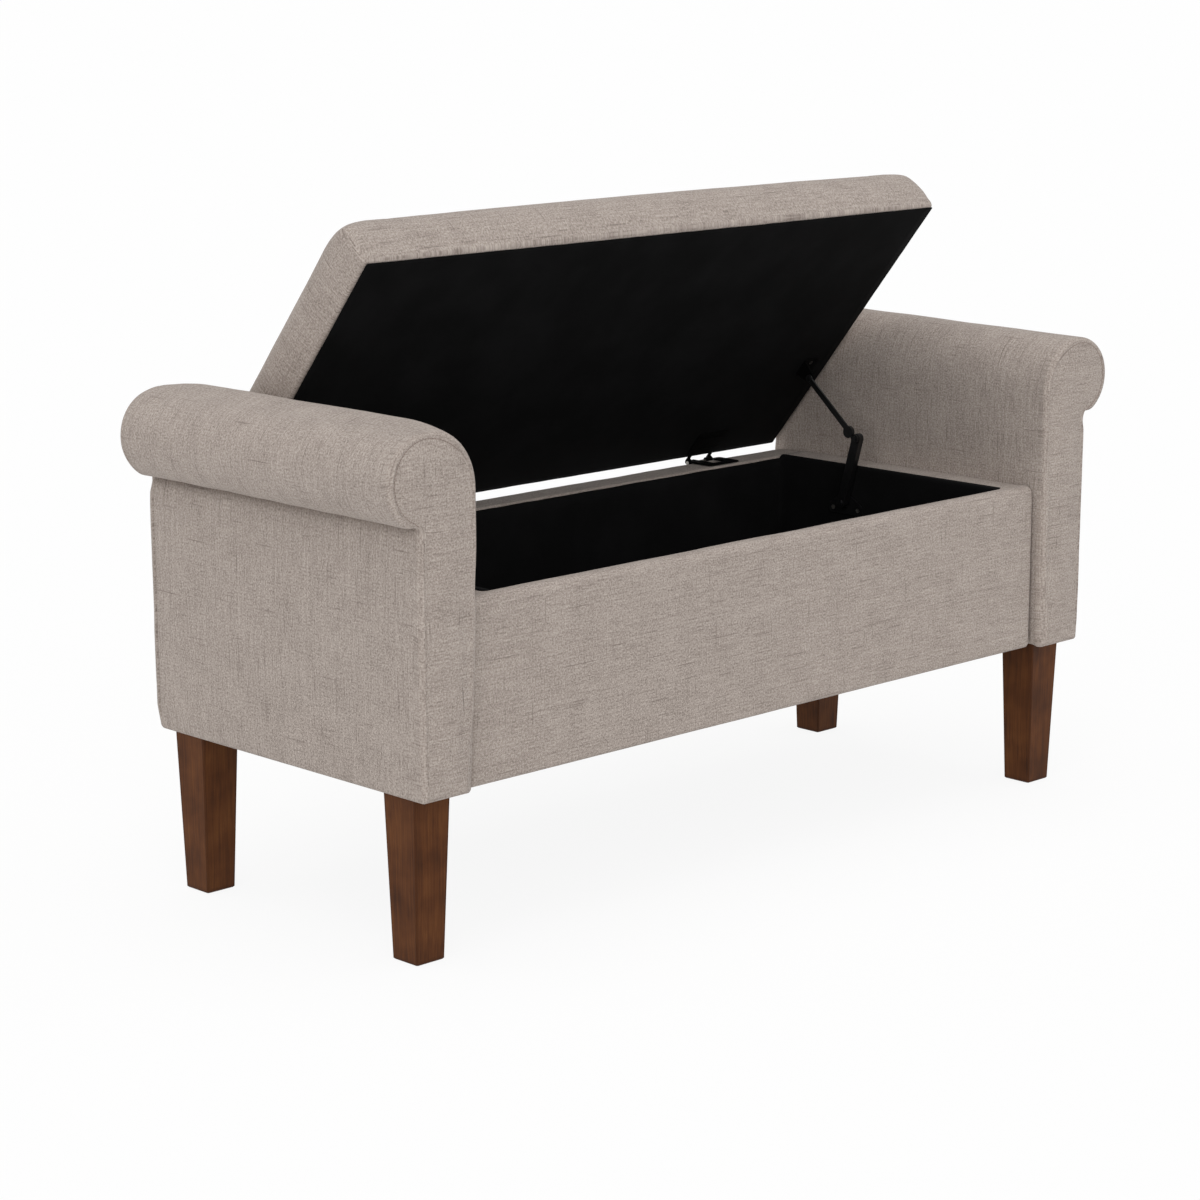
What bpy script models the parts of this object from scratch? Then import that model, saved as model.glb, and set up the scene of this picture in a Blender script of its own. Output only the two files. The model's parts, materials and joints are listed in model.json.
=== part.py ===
"""Rolled-arm storage bench: a padded box on four legs, with a hinged lid on two folding stays.

Metres, +Z up, front towards -Y. The lid stands open, as far as its stays let it.
"""

import math

import bmesh
import bpy
from mathutils import Vector

# Clearances
GAP = 0.0003  # between pieces that touch
BORE_GAP = 0.0004  # round a pin, rivet, screw or bolt in its hole
SHEET_GAP = 0.0005  # between flat links that turn beside each other
REACH = 0.02  # how far a cutter runs past what it cuts

# Arms
ARM_SPAN = 1.204  # between the outer faces of the two arms
ARM_DEPTH = 0.495
ARM_THICKNESS = 0.086
ARM_TOP = 0.627
ROLL_RADIUS = 0.0565
SHOULDER_RADIUS = 0.074  # inner curve that leads up from the lid to the roll
CREASE_RADIUS = 0.003
ARM_CORNER_RADIUS = 0.010
ARM_EDGE_RADIUS = 0.008
ARM_DRAW_IN = 0.005  # how far the cloth pulls each side in at the bottom
FACE_PADDING = 0.010  # on the front and rear faces of an arm
ARM_BOARD = 0.012
ARM_BASE_BOARD = 0.018
FORMER = 0.0025  # bent sheet that carries the roll's padding

# Box
BODY_BOTTOM = 0.2035  # underside of the upholstery, above the floor
RIM_HEIGHT = 0.4234
PANEL_RECESS = 0.0128  # front and back panels behind the arm faces
RIM_WIDTH = 0.052  # side and back walls, padding and frame together
PADDING = 0.008
CLOTH = 0.0015
CLOTH_TURN = 0.030  # cloth turned in under the boards and down into the well
PANEL_TOP_RADIUS = 0.010
PANEL_BOTTOM_RADIUS = 0.006
RIM_INNER_RADIUS = 0.004
BOX_BOARD = 0.012
INNER_PANEL = 0.005
TOP_RAIL = 0.064
BOTTOM_RAIL = 0.032
POST = 0.032
LINING = 0.001
LINING_DROP = 0.003  # edge of the lining below the rim
DUST_SHEET = 0.0008
DUST_SHEET_MARGIN = 0.014  # underside left bare round the sheet
BOARD_EDGE = 0.0008

# Legs
LEG_TOP = 0.055
LEG_FOOT = 0.043
LEG_EDGE = 0.0015
LEG_INSET_X = 0.0377  # leg centre behind the arm's outer face
LEG_INSET_Y = 0.052  # leg centre behind the arm's front or rear face
HANGER_BOLT_RADIUS = 0.004
HANGER_BOLT_DEPTH = 0.038  # into the leg

# Lid
LID_OPEN_ANGLE = 51.0  # degrees
LID_SIDE_GAP = 0.007  # to each arm
LID_REAR_SETBACK = 0.0015
LID_THICKNESS = 0.070
LID_CROWN = 0.006
LID_EDGE_RADIUS = 0.020
LID_TOP_CORNER = 0.030
LID_BOTTOM_CORNER = 0.010
LID_BOARD = 0.015
LID_COVER = 0.002
LID_TURN = 0.024  # cloth turned in under the lid board
DUST_MARGIN = 0.005  # cloth left bare round the lid's dust cover

# Hinges
HINGE_INSET = 0.164  # hinge centre from the inner face of the arm
HINGE_WIDTH = 0.060
LEAF = 0.0016
LEAF_CLEARANCE = 0.0006  # between the closed leaves
KNUCKLE_RADIUS = 0.0038
HINGE_OVERHANG = 0.0018  # pin behind the back panel's face
PIN_RADIUS = 0.0016
PIN_HEAD_RADIUS = 0.0027
PIN_HEAD = 0.0008
KNUCKLE_CLEARANCE = 0.001  # to the cloth behind the rim
TAB_WIDTH = 0.006
TAB_PLACE = 0.0117  # inner side of the base leaf's tab, from the hinge centre
BASE_LEAF_REACH = 0.050  # from the pin to the leaf's front edge
BASE_BAR = 0.012  # bar that joins the two straps of the base leaf
LEAF_BACK = 0.010  # from the pin to the flat part of a leaf
LID_LEAF_REACH = 0.054
RIB = 0.0004
RIB_WIDTH = 0.003
RIB_LENGTH = 0.048
RIB_PLACES = (0.27, 0.73)  # shares of the leaf's reach

# Stays
STAY_FOOT_AHEAD = 0.1805  # foot rivet in front of the hinge pin
STAY_FOOT_DROP = 0.0509  # foot rivet below the rim
STAY_TOP_AHEAD = 0.1692  # lid rivet in front of the hinge pin, lid closed
STAY_TOP_DROP = 0.0237  # lid rivet below the lid's underside
LOWER_ARM = 0.0975  # foot rivet to elbow
UPPER_ARM = 0.1148  # lid rivet to elbow
STAY_PLATE = 0.002
LOWER_ARM_CLEARANCE = 0.0012  # channel to foot plate
CHANNEL_DEPTH = 0.009
CHANNEL_WALL = 0.0015
CHANNEL_RADIUS = 0.007
UPPER_ARM_PLATE = 0.0025
UPPER_ARM_RADIUS = 0.004
EYE_RADIUS = 0.0058
ELBOW_RADIUS = 0.0062
KNOB_RADIUS = 0.0086
KNOB_RISE = 0.0025
KNOB_PLACE = 0.0135  # from the elbow, along the upper arm
RIVET_RADIUS = 0.0025
RIVET_HEAD_RADIUS = 0.0045
RIVET_HEAD = 0.0012
LID_LEG = 0.027  # width of the lid bracket's leaf
LID_LEG_LENGTH = 0.032
FOOT_HALF_LENGTH = 0.030
FOOT_SCREW_SPREAD = 0.0225
FOOT_SCREW_DROP = 0.010
LID_SCREW_SPREAD = 0.008

# Wood screws
SCREW_RADIUS = 0.0018
SCREW_HEAD_RADIUS = 0.0034
SCREW_HEAD = 0.0014
RECESS_ARM = 0.0017
RECESS_WIDTH = 0.0008
RECESS_DEPTH = 0.0007
HINGE_SCREW = 0.022
FOOT_SCREW = 0.018
LID_SCREW = 0.013

# Faces and lines that several pieces share
ARM_OUTER_X = ARM_SPAN / 2
ARM_INNER_X = ARM_OUTER_X - ARM_THICKNESS
ARM_FACE_Y = ARM_DEPTH / 2
ROLL_X = ARM_INNER_X + SHOULDER_RADIUS
ROLL_Z = ARM_TOP - ROLL_RADIUS
SHOULDER_Z = ARM_TOP - SHOULDER_RADIUS
PANEL_Y = ARM_FACE_Y - PANEL_RECESS
BOX_END_X = ARM_INNER_X - GAP
BOARD_BOTTOM = BODY_BOTTOM + CLOTH + GAP
BOARD_TOP = RIM_HEIGHT - PADDING - GAP
WELL_X = ARM_INNER_X - RIM_WIDTH  # cloth face of a side wall
HINGE_X = ARM_INNER_X - HINGE_INSET
WELL_REAR_Y = PANEL_Y - RIM_WIDTH
WELL_FRONT_Y = -PANEL_Y + PADDING + GAP + BOX_BOARD + GAP + CLOTH
FLOOR_TOP = BOARD_BOTTOM + BOX_BOARD
SHEET_TOP = BODY_BOTTOM - GAP
SHEET_BOTTOM = SHEET_TOP - DUST_SHEET
LINING_X = WELL_X - GAP
LINING_FRONT_Y = WELL_FRONT_Y + GAP
LINING_REAR_Y = WELL_REAR_Y - GAP
FRAME_END_Y = ARM_FACE_Y - FACE_PADDING - GAP  # outer side of an arm's profile boards
FORMER_END_Y = FRAME_END_Y - ARM_BOARD - GAP
LEG_X = ARM_OUTER_X - LEG_INSET_X
LEG_Y = ARM_FACE_Y - LEG_INSET_Y

LID_X = ARM_INNER_X - LID_SIDE_GAP
LID_FRONT_Y = -PANEL_Y
LID_REAR_Y = PANEL_Y - LID_REAR_SETBACK
LID_UNDERSIDE = RIM_HEIGHT + 2 * (GAP + LEAF) + LEAF_CLEARANCE
LID_TOP = LID_UNDERSIDE + LID_THICKNESS
TURN_BOTTOM = LID_UNDERSIDE + DUST_SHEET + GAP
LID_BOARD_BOTTOM = TURN_BOTTOM + CLOTH + GAP
LID_BOARD_TOP = LID_BOARD_BOTTOM + LID_BOARD

PIN_Y = PANEL_Y + HINGE_OVERHANG
PIN_Z = RIM_HEIGHT + GAP + LEAF - KNUCKLE_RADIUS

PLATE_X = LINING_X - LINING - GAP  # wall side of a stay's foot plate
CHANNEL_X = PLATE_X - STAY_PLATE - LOWER_ARM_CLEARANCE  # wall side of the channel
WEB_X = CHANNEL_X - CHANNEL_DEPTH  # well side of the channel
LINK_X = WEB_X - SHEET_GAP  # wall side of the upper arm

SIDES = (("left", -1), ("right", 1))
ENDS = (("front", -1), ("rear", 1))


# Plane geometry

def turned(point, pivot, degrees):
    """A point of a plane turned about a pivot, positive from the first axis to the second."""
    angle = math.radians(degrees)
    u = point[0] - pivot[0]
    v = point[1] - pivot[1]
    turned_u = u * math.cos(angle) - v * math.sin(angle)
    turned_v = u * math.sin(angle) + v * math.cos(angle)
    return (pivot[0] + turned_u, pivot[1] + turned_v)


def meeting_point(first, first_length, second, second_length):
    """Where two links meet, on the left of the line from the first pivot to the second."""
    span = Vector(second) - Vector(first)
    along = (first_length**2 - second_length**2 + span.length**2) / (2 * span.length)
    across = math.sqrt(first_length**2 - along**2)
    unit = span.normalized()
    point = Vector(first) + unit * along + Vector((-unit.y, unit.x)) * across
    return (point.x, point.y)


def arc(centre, radius, start, end, steps):
    """Points along an arc between two angles in degrees, both ends included."""
    points = []
    for step in range(steps + 1):
        angle = math.radians(start + (end - start) * step / steps)
        points.append((centre[0] + radius * math.cos(angle), centre[1] + radius * math.sin(angle)))
    return points


def circle(centre, radius, sides=16):
    """A round outline."""
    return arc(centre, radius, 0, 360, sides)[:-1]


def slot(start, end, radius, steps=8):
    """Outline with round ends about two points that stand one above the other."""
    return arc(end, radius, 0, 180, steps) + arc(start, radius, 180, 360, steps)


def cross(centre, reach, half):
    """A plus sign, its four arms as long as its reach."""
    outline = []
    for quarter in range(4):
        for point in ((reach, -half), (reach, half), (half, half)):
            u, v = turned(point, (0.0, 0.0), 90 * quarter)
            outline.append((centre[0] + u, centre[1] + v))
    return outline


def filleted(corners, steps=4):
    """Closed outline through corners (u, v, radius), each corner rounded by its radius."""
    outline = []
    for index, (u, v, radius) in enumerate(corners):
        corner = Vector((u, v))
        if radius <= 0:
            outline.append((u, v))
            continue
        back = (Vector(corners[index - 1][:2]) - corner).normalized()
        ahead = (Vector(corners[(index + 1) % len(corners)][:2]) - corner).normalized()
        half = back.angle(ahead) / 2
        centre = corner + (back + ahead).normalized() * (radius / math.sin(half))
        first = corner + back * (radius / math.tan(half)) - centre
        last = corner + ahead * (radius / math.tan(half)) - centre
        start = math.degrees(math.atan2(first.y, first.x))
        turn = math.degrees(math.atan2(first.cross(last), first.dot(last)))
        outline += arc(centre, radius, start, start + turn, steps)
    return outline


def rectangle(low, high, radius=0.0, steps=4):
    """Rectangle between two corner points."""
    corners = [(low[0], low[1]), (high[0], low[1]), (high[0], high[1]), (low[0], high[1])]
    return filleted([(u, v, radius) for u, v in corners], steps)


# Solids in a bmesh

def place(axis, u, v, along):
    """Point at (u, v) of the plane across an axis, in X, Y, Z order, and some way along it."""
    if axis == "x":
        return (along, u, v)
    if axis == "y":
        return (u, along, v)
    return (u, v, along)


def add_strip(bm, low, high):
    """Quads between two loops of as many vertices."""
    for index in range(len(low)):
        after = (index + 1) % len(low)
        bm.faces.new((low[index], low[after], high[after], high[index]))


def add_loft(bm, rings, hollow=False):
    """Body through rings of as many points: capped at both ends, or closed on itself."""
    loops = [[bm.verts.new(point) for point in ring] for ring in rings]
    for low, high in zip(loops, loops[1:]):
        add_strip(bm, low, high)
    if hollow:
        add_strip(bm, loops[-1], loops[0])
    else:
        bm.faces.new(loops[0])
        bm.faces.new(loops[-1])


def add_prism(bm, outline, axis, start, end):
    """An outline drawn straight along an axis."""
    add_loft(bm, [[place(axis, u, v, along) for u, v in outline] for along in (start, end)])


def add_box(bm, low, high):
    """A box between two opposite corners."""
    add_prism(bm, rectangle(low[:2], high[:2]), "z", low[2], high[2])


def add_turned(bm, axis, centre, profile, sides=12, bored=False):
    """A body of revolution from (radius, place along the axis) pairs; bored ones have no caps."""
    rings = []
    for radius, along in profile:
        rings.append([place(axis, u, v, along) for u, v in circle(centre, radius, sides)])
    add_loft(bm, rings, hollow=bored)


def screw_plane(screw):
    """Centre of a screw's head across its axis, and the head's place along it."""
    head, axis = screw[:2]
    if axis == "x":
        return (head[1], head[2]), head[0]
    return (head[0], head[1]), head[2]


def add_screw(bm, screw, clearance=0.0):
    """A countersunk screw (head, axis, sense, length), or its hole, swollen by a clearance."""
    axis, sense, length = screw[1:]
    centre, top = screw_plane(screw)
    shank = SCREW_RADIUS + clearance
    profile = [
        (SCREW_HEAD_RADIUS + clearance, top - sense * clearance),
        (SCREW_HEAD_RADIUS + clearance, top + sense * SCREW_HEAD / 4),
        (shank, top + sense * SCREW_HEAD),
        (shank, top + sense * (length - SCREW_RADIUS + clearance)),
        (shank / 3, top + sense * (length + clearance)),
    ]
    add_turned(bm, axis, centre, profile, sides=8)


def add_recess(bm, screw):
    """The crossed recess in a screw's head."""
    centre, top = screw_plane(screw)
    ends = sorted((top - screw[2] * RECESS_DEPTH, top + screw[2] * RECESS_DEPTH))
    add_prism(bm, cross(centre, RECESS_ARM, RECESS_WIDTH / 2), screw[1], *ends)


# Objects

def make_material(name, colour, roughness, metallic=0.0):
    """A plain principled finish."""
    material = bpy.data.materials.new(name)
    material.use_nodes = True
    shader = material.node_tree.nodes["Principled BSDF"]
    shader.inputs["Base Color"].default_value = (*colour, 1.0)
    shader.inputs["Roughness"].default_value = roughness
    shader.inputs["Metallic"].default_value = metallic
    material.diffuse_color = (*colour, 1.0)
    return material


def make_empty(name, parent, location, tilt=0.0):
    """An empty that carries pieces, tilted about X."""
    empty = bpy.data.objects.new(name, None)
    empty.empty_display_size = 0.03
    empty.location = location
    empty.rotation_euler = (tilt, 0.0, 0.0)
    empty.parent = parent
    bpy.context.scene.collection.objects.link(empty)
    return empty


def make_object(name, bm, parent, origin=(0.0, 0.0, 0.0)):
    """An object whose mesh is drawn in the bench's frame and carried by an empty at an origin."""
    bmesh.ops.recalc_face_normals(bm, faces=bm.faces)
    mesh = bpy.data.meshes.new(name)
    bm.to_mesh(mesh)
    bm.free()
    piece = bpy.data.objects.new(name, mesh)
    piece.location = [-value for value in origin]
    piece.parent = parent
    bpy.context.scene.collection.objects.link(piece)
    return piece


def make_piece(name, bm, material, parent, origin=(0.0, 0.0, 0.0), round_over=0.0):
    """A finished piece, with its finish, smooth shading and eased edges where it has them."""
    piece = make_object(name, bm, parent, origin)
    piece.data.materials.append(material)
    piece.data.shade_smooth()
    piece.data.set_sharp_from_angle(angle=math.radians(35))
    if round_over > 0:
        bevel = piece.modifiers.new("eased edges", "BEVEL")
        bevel.width = round_over
        bevel.segments = 1
        bevel.limit_method = "ANGLE"
    return piece


def make_cutter(name, bm, parent, origin=(0.0, 0.0, 0.0)):
    """A hidden body that cuts or joins others."""
    cutter = make_object(name, bm, parent, origin)
    cutter.hide_render = True
    cutter.display_type = "WIRE"
    return cutter


def combine(piece, other, operation):
    """Cut a hidden body out of a piece, or join it on."""
    modifier = piece.modifiers.new(other.name, "BOOLEAN")
    modifier.operation = operation
    modifier.solver = "EXACT"
    modifier.object = other


def cut(pieces, cutter):
    """Cut one hidden body out of several pieces."""
    for piece in pieces:
        combine(piece, cutter, "DIFFERENCE")


# Arms

def roll_curve(inset):
    """The curve over an arm, from the top of its inner face round the roll to the crease."""
    roll = ROLL_RADIUS - inset
    shoulder = arc((ROLL_X, SHOULDER_Z), SHOULDER_RADIUS - inset, 180, 90, 9)
    return shoulder + arc((ROLL_X, ROLL_Z), roll, 90, crease_angle(), 16)[1:]


def crease_centre():
    """Centre of the small valley between the roll and the arm's outer face."""
    x = ARM_OUTER_X + CREASE_RADIUS
    reach = ROLL_RADIUS + CREASE_RADIUS
    return (x, ROLL_Z - math.sqrt(reach**2 - (x - ROLL_X) ** 2))


def crease_angle():
    """Direction from the roll's centre to the crease, in degrees."""
    x, z = crease_centre()
    return math.degrees(math.atan2(z - ROLL_Z, x - ROLL_X))


def arm_outline(inset, bottom, corner):
    """Section of an arm across Y, an inset inside the cloth, with rounded bottom corners."""
    inner = ARM_INNER_X + inset
    outer = ARM_OUTER_X - inset
    outline = arc((inner + corner, bottom + corner), corner, 270, 180, 3)
    outline.append((inner, RIM_HEIGHT))
    outline += roll_curve(inset)
    outline += arc(crease_centre(), CREASE_RADIUS + inset, crease_angle() + 180, 180, 3)[1:]
    outline.append((outer, RIM_HEIGHT))
    outline += arc((outer - corner, bottom + corner), corner, 0, -90, 3)
    return outline


def drawn_in(x, z):
    """The cloth of both sides pulled in below the rim, most at the bottom."""
    share = max(0.0, (RIM_HEIGHT - z) / (RIM_HEIGHT - BODY_BOTTOM))
    middle = (ARM_INNER_X + ARM_OUTER_X) / 2
    shift = ARM_DRAW_IN * share
    return (x + shift, z) if x < middle else (x - shift, z)


def make_arm(label, side, parent, cloth, timber, card):
    """One arm: padded cover, glued frame of five boards, and the bent former of the roll."""

    def mirrored(outline):
        return [(side * x, z) for x, z in outline]

    # Cover, its front and rear edges rounded, hollow and open below
    steps = 3
    half_rings = []
    for step in range(steps + 1):
        angle = math.radians(90 * step / steps)
        inset = ARM_EDGE_RADIUS * (1 - math.sin(angle))
        depth = ARM_FACE_Y - ARM_EDGE_RADIUS * (1 - math.cos(angle))
        outline = arm_outline(inset, BODY_BOTTOM + inset, ARM_CORNER_RADIUS - inset)
        half_rings.append((mirrored([drawn_in(x, z) for x, z in outline]), depth))
    rings = [[(x, -depth, z) for x, z in outline] for outline, depth in half_rings]
    rings += [[(x, depth, z) for x, z in outline] for outline, depth in reversed(half_rings)]
    bm = bmesh.new()
    add_loft(bm, rings)
    cover = make_piece(f"{label}_arm_cover", bm, cloth, parent)
    bm = bmesh.new()
    hollow = mirrored(arm_outline(PADDING, BODY_BOTTOM - REACH, BOARD_EDGE))
    add_prism(bm, hollow, "y", -FRAME_END_Y - GAP, FRAME_END_Y + GAP)
    cut([cover], make_cutter(f"{label}_arm_hollow", bm, parent))

    # Frame: front and rear profile boards, with inner, outer and base boards between them
    bm = bmesh.new()
    profile = mirrored(arm_outline(PADDING + GAP, BODY_BOTTOM, BOARD_EDGE))
    add_prism(bm, profile, "y", -FRAME_END_Y, FRAME_END_Y)
    frame = make_piece(f"{label}_arm_frame", bm, timber, parent)
    inner = ARM_INNER_X + PADDING + GAP + ARM_BOARD
    outer = ARM_OUTER_X - PADDING - GAP - ARM_BOARD
    floor = BODY_BOTTOM + ARM_BASE_BOARD
    inner_top = SHOULDER_Z - GAP
    outer_top = crease_centre()[1] - CREASE_RADIUS - GAP
    roll_side = ROLL_X + ROLL_RADIUS
    space = mirrored([
        (inner, floor), (outer, floor), (outer, outer_top), (roll_side, outer_top),
        (roll_side, ARM_TOP), (ARM_INNER_X, ARM_TOP), (ARM_INNER_X, inner_top),
        (inner, inner_top)])
    bm = bmesh.new()
    add_prism(bm, space, "y", -FORMER_END_Y - GAP, FORMER_END_Y + GAP)
    cut([frame], make_cutter(f"{label}_arm_space", bm, parent))

    # Former bent over the shoulder and round the roll
    bm = bmesh.new()
    sheet = roll_curve(PADDING + GAP) + roll_curve(PADDING + GAP + FORMER)[::-1]
    add_prism(bm, mirrored(sheet), "y", -FORMER_END_Y, FORMER_END_Y)
    make_piece(f"{label}_arm_former", bm, card, parent)
    return frame


# Legs

def make_legs(parent, carriers, wood, steel):
    """Four tapered legs, each held by a hanger bolt in the base board of its arm."""
    leg_top = SHEET_BOTTOM - GAP
    bolt_foot = leg_top - HANGER_BOLT_DEPTH
    bolt_top = BODY_BOTTOM + ARM_BASE_BOARD
    radius = HANGER_BOLT_RADIUS
    bore = radius + BORE_GAP
    holes = bmesh.new()
    legs = []
    for end, depth in ENDS:
        for label, side in SIDES:
            x = side * LEG_X
            y = depth * LEG_Y
            rings = []
            for half, height in (
                (LEG_FOOT / 2 - LEG_EDGE, 0.0),
                (LEG_FOOT / 2, LEG_EDGE),
                (LEG_TOP / 2, leg_top),
            ):
                outline = rectangle((x - half, y - half), (x + half, y + half), LEG_EDGE, steps=1)
                rings.append([place("z", u, v, height) for u, v in outline])
            bm = bmesh.new()
            add_loft(bm, rings)
            legs.append(make_piece(f"{end}_{label}_leg", bm, wood, parent))
            bolt = [(radius / 2, bolt_foot), (radius, bolt_foot + radius), (radius, bolt_top)]
            bm = bmesh.new()
            add_turned(bm, "z", (x, y), bolt)
            make_piece(f"{end}_{label}_leg_bolt", bm, steel, parent)
            add_turned(holes, "z", (x, y), [
                (bore, bolt_foot - BORE_GAP), (bore, bolt_top + REACH / 2)])
    cut(legs + carriers, make_cutter("leg_bolt_holes", holes, parent))


# Box

def make_panel_cover(name, facing, wall, parent, cloth):
    """Padded cover of the front or back panel: over the face, the rim and down into the well."""
    face = facing * PANEL_Y
    inward = -facing
    well = face + inward * wall
    outline = filleted([
        (face + inward * CLOTH_TURN, BODY_BOTTOM, 0),
        (face, BODY_BOTTOM, PANEL_BOTTOM_RADIUS),
        (face, RIM_HEIGHT, PANEL_TOP_RADIUS),
        (well, RIM_HEIGHT, RIM_INNER_RADIUS),
        (well, RIM_HEIGHT - CLOTH_TURN, 0),
        (well - inward * CLOTH, RIM_HEIGHT - CLOTH_TURN, 0),
        (well - inward * CLOTH, RIM_HEIGHT - PADDING, 0),
        (face + inward * PADDING, RIM_HEIGHT - PADDING, 0),
        (face + inward * PADDING, BODY_BOTTOM + CLOTH, 0),
        (face + inward * CLOTH_TURN, BODY_BOTTOM + CLOTH, 0),
    ])
    bm = bmesh.new()
    add_prism(bm, outline, "x", -BOX_END_X, BOX_END_X)
    return make_piece(name, bm, cloth, parent)


def make_rim_cover(label, side, parent, cloth):
    """Padded strip on top of a side wall, turned down into the well."""
    outline = filleted([
        (side * WELL_X, RIM_HEIGHT - CLOTH_TURN, 0),
        (side * WELL_X, RIM_HEIGHT, RIM_INNER_RADIUS),
        (side * BOX_END_X, RIM_HEIGHT, 0),
        (side * BOX_END_X, RIM_HEIGHT - PADDING, 0),
        (side * (WELL_X + CLOTH), RIM_HEIGHT - PADDING, 0),
        (side * (WELL_X + CLOTH), RIM_HEIGHT - CLOTH_TURN, 0),
    ])
    bm = bmesh.new()
    add_prism(bm, outline, "y", LINING_FRONT_Y, LINING_REAR_Y)
    make_piece(f"{label}_rim_cover", bm, cloth, parent)


def make_frame(name, low, high, axis, bays, parent, timber):
    """A glued frame: two rails along an axis (0 or 1), and posts between and beside its bays."""
    bm = bmesh.new()
    add_box(bm, low, high)
    frame = make_piece(name, bm, timber, parent, round_over=BOARD_EDGE)
    opening = bmesh.new()
    pitch = (high[axis] - low[axis] - POST) / bays
    for bay in range(bays):
        near = [value - REACH for value in low]
        far = [value + REACH for value in high]
        near[axis] = low[axis] + POST + bay * pitch
        far[axis] = near[axis] + pitch - POST
        near[2] = low[2] + BOTTOM_RAIL
        far[2] = high[2] - TOP_RAIL
        add_box(opening, near, far)
    cut([frame], make_cutter(f"{name}_bays", opening, parent))
    return frame


def make_box(parent, cloth, timber, black):
    """The storage box between the arms; returns the pieces that screws of the lid's fittings meet."""

    def board(name, low, high, material=timber, round_over=BOARD_EDGE):
        bm = bmesh.new()
        add_box(bm, low, high)
        return make_piece(name, bm, material, parent, round_over=round_over)

    end = BOX_END_X
    board_y = PANEL_Y - PADDING - GAP
    board_inner_y = board_y - BOX_BOARD
    floor_y = board_inner_y - GAP
    stand = FLOOR_TOP + GAP
    make_panel_cover("front_panel_cover", -1, PANEL_Y + WELL_FRONT_Y, parent, cloth)
    back_cover = make_panel_cover("back_panel_cover", 1, RIM_WIDTH, parent, cloth)
    board("front_board", (-end, -board_y, BOARD_BOTTOM), (end, -board_inner_y, BOARD_TOP))
    board("back_board", (-end, board_inner_y, BOARD_BOTTOM), (end, board_y, BOARD_TOP))
    board("bottom_board", (-end, -floor_y, BOARD_BOTTOM), (end, floor_y, FLOOR_TOP))

    # Back wall
    panel_y = WELL_REAR_Y + CLOTH + GAP
    frame_y = panel_y + INNER_PANEL + GAP
    board("back_inner_panel", (-end, panel_y, stand), (end, panel_y + INNER_PANEL, BOARD_TOP))
    back_frame = make_frame(
        "back_frame", (-end, frame_y, stand), (end, floor_y, BOARD_TOP), 0, 2, parent, timber)
    met = [back_cover, back_frame]

    # Side walls
    for label, side in SIDES:
        make_rim_cover(label, side, parent, cloth)
        near = WELL_X + CLOTH + GAP
        far = near + INNER_PANEL
        xs = sorted((side * near, side * far))
        met.append(board(f"{label}_inner_panel", (xs[0], LINING_FRONT_Y, stand),
                         (xs[1], LINING_REAR_Y, BOARD_TOP)))
        xs = sorted((side * (far + GAP), side * end))
        met.append(make_frame(f"{label}_side_frame", (xs[0], LINING_FRONT_Y, stand),
                              (xs[1], LINING_REAR_Y, BOARD_TOP), 1, 1, parent, timber))

    # Lining: a tub of black cloth
    top = RIM_HEIGHT - LINING_DROP
    rings = []
    for inset, height in ((0, stand), (0, top), (LINING, top), (LINING, stand + LINING)):
        low = (-LINING_X + inset, LINING_FRONT_Y + inset)
        high = (LINING_X - inset, LINING_REAR_Y - inset)
        rings.append([place("z", u, v, height) for u, v in rectangle(low, high)])
    bm = bmesh.new()
    add_loft(bm, rings)
    met.append(make_piece("well_lining", bm, black, parent))
    return met


def make_underside(parent, black):
    """The black sheet under the box and both arms; the legs press it against the arms."""
    half_x = ARM_OUTER_X - DUST_SHEET_MARGIN
    half_y = PANEL_Y - DUST_SHEET_MARGIN
    bm = bmesh.new()
    add_box(bm, (-half_x, -half_y, SHEET_BOTTOM), (half_x, half_y, SHEET_TOP))
    return make_piece("underside_dust_sheet", bm, black, parent)


# Lid, drawn closed and carried by an empty on the hinge pins

def lid_ring(inset, height, corner):
    """A level outline of the lid, an inset inside its edge."""
    low = (-LID_X + inset, LID_FRONT_Y + inset)
    high = (LID_X - inset, LID_REAR_Y - inset)
    return [place("z", u, v, height) for u, v in rectangle(low, high, corner, steps=4)]


def lid_corner(height):
    """Radius of the lid's corners in plan, from tight at the underside to wide at the top."""
    share = (height - LID_UNDERSIDE) / (LID_TOP - LID_EDGE_RADIUS - LID_UNDERSIDE)
    return LID_BOTTOM_CORNER + share * (LID_TOP_CORNER - LID_BOTTOM_CORNER)


def lid_shape(offset, foot):
    """Rings of the padded lid from its foot to its crown, an offset inside the cloth."""
    edge_z = LID_TOP - LID_EDGE_RADIUS
    waist_z = (LID_UNDERSIDE + edge_z) / 2
    top_corner = LID_TOP_CORNER - offset
    radius = LID_EDGE_RADIUS - offset
    rings = []
    for inset, height in ((offset + CLOTH, foot), (offset, foot + CLOTH), (offset, waist_z)):
        rings.append(lid_ring(inset, height, lid_corner(height) - offset))
    for angle in (0, 22.5, 45, 67.5, 90):
        inset = offset + CLOTH + radius * (1 - math.cos(math.radians(angle)))
        rings.append(lid_ring(inset, edge_z + radius * math.sin(math.radians(angle)), top_corner))
    flat = offset + CLOTH + radius
    middle = (LID_REAR_Y - LID_FRONT_Y) / 2
    for share in (0.15, 0.35, 0.6, 0.85):
        inset = flat + share * (middle - flat)
        height = LID_TOP - offset + LID_CROWN * (1 - (1 - share) ** 2)
        rings.append(lid_ring(inset, height, top_corner * (1 - share / 2)))
    return rings


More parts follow.
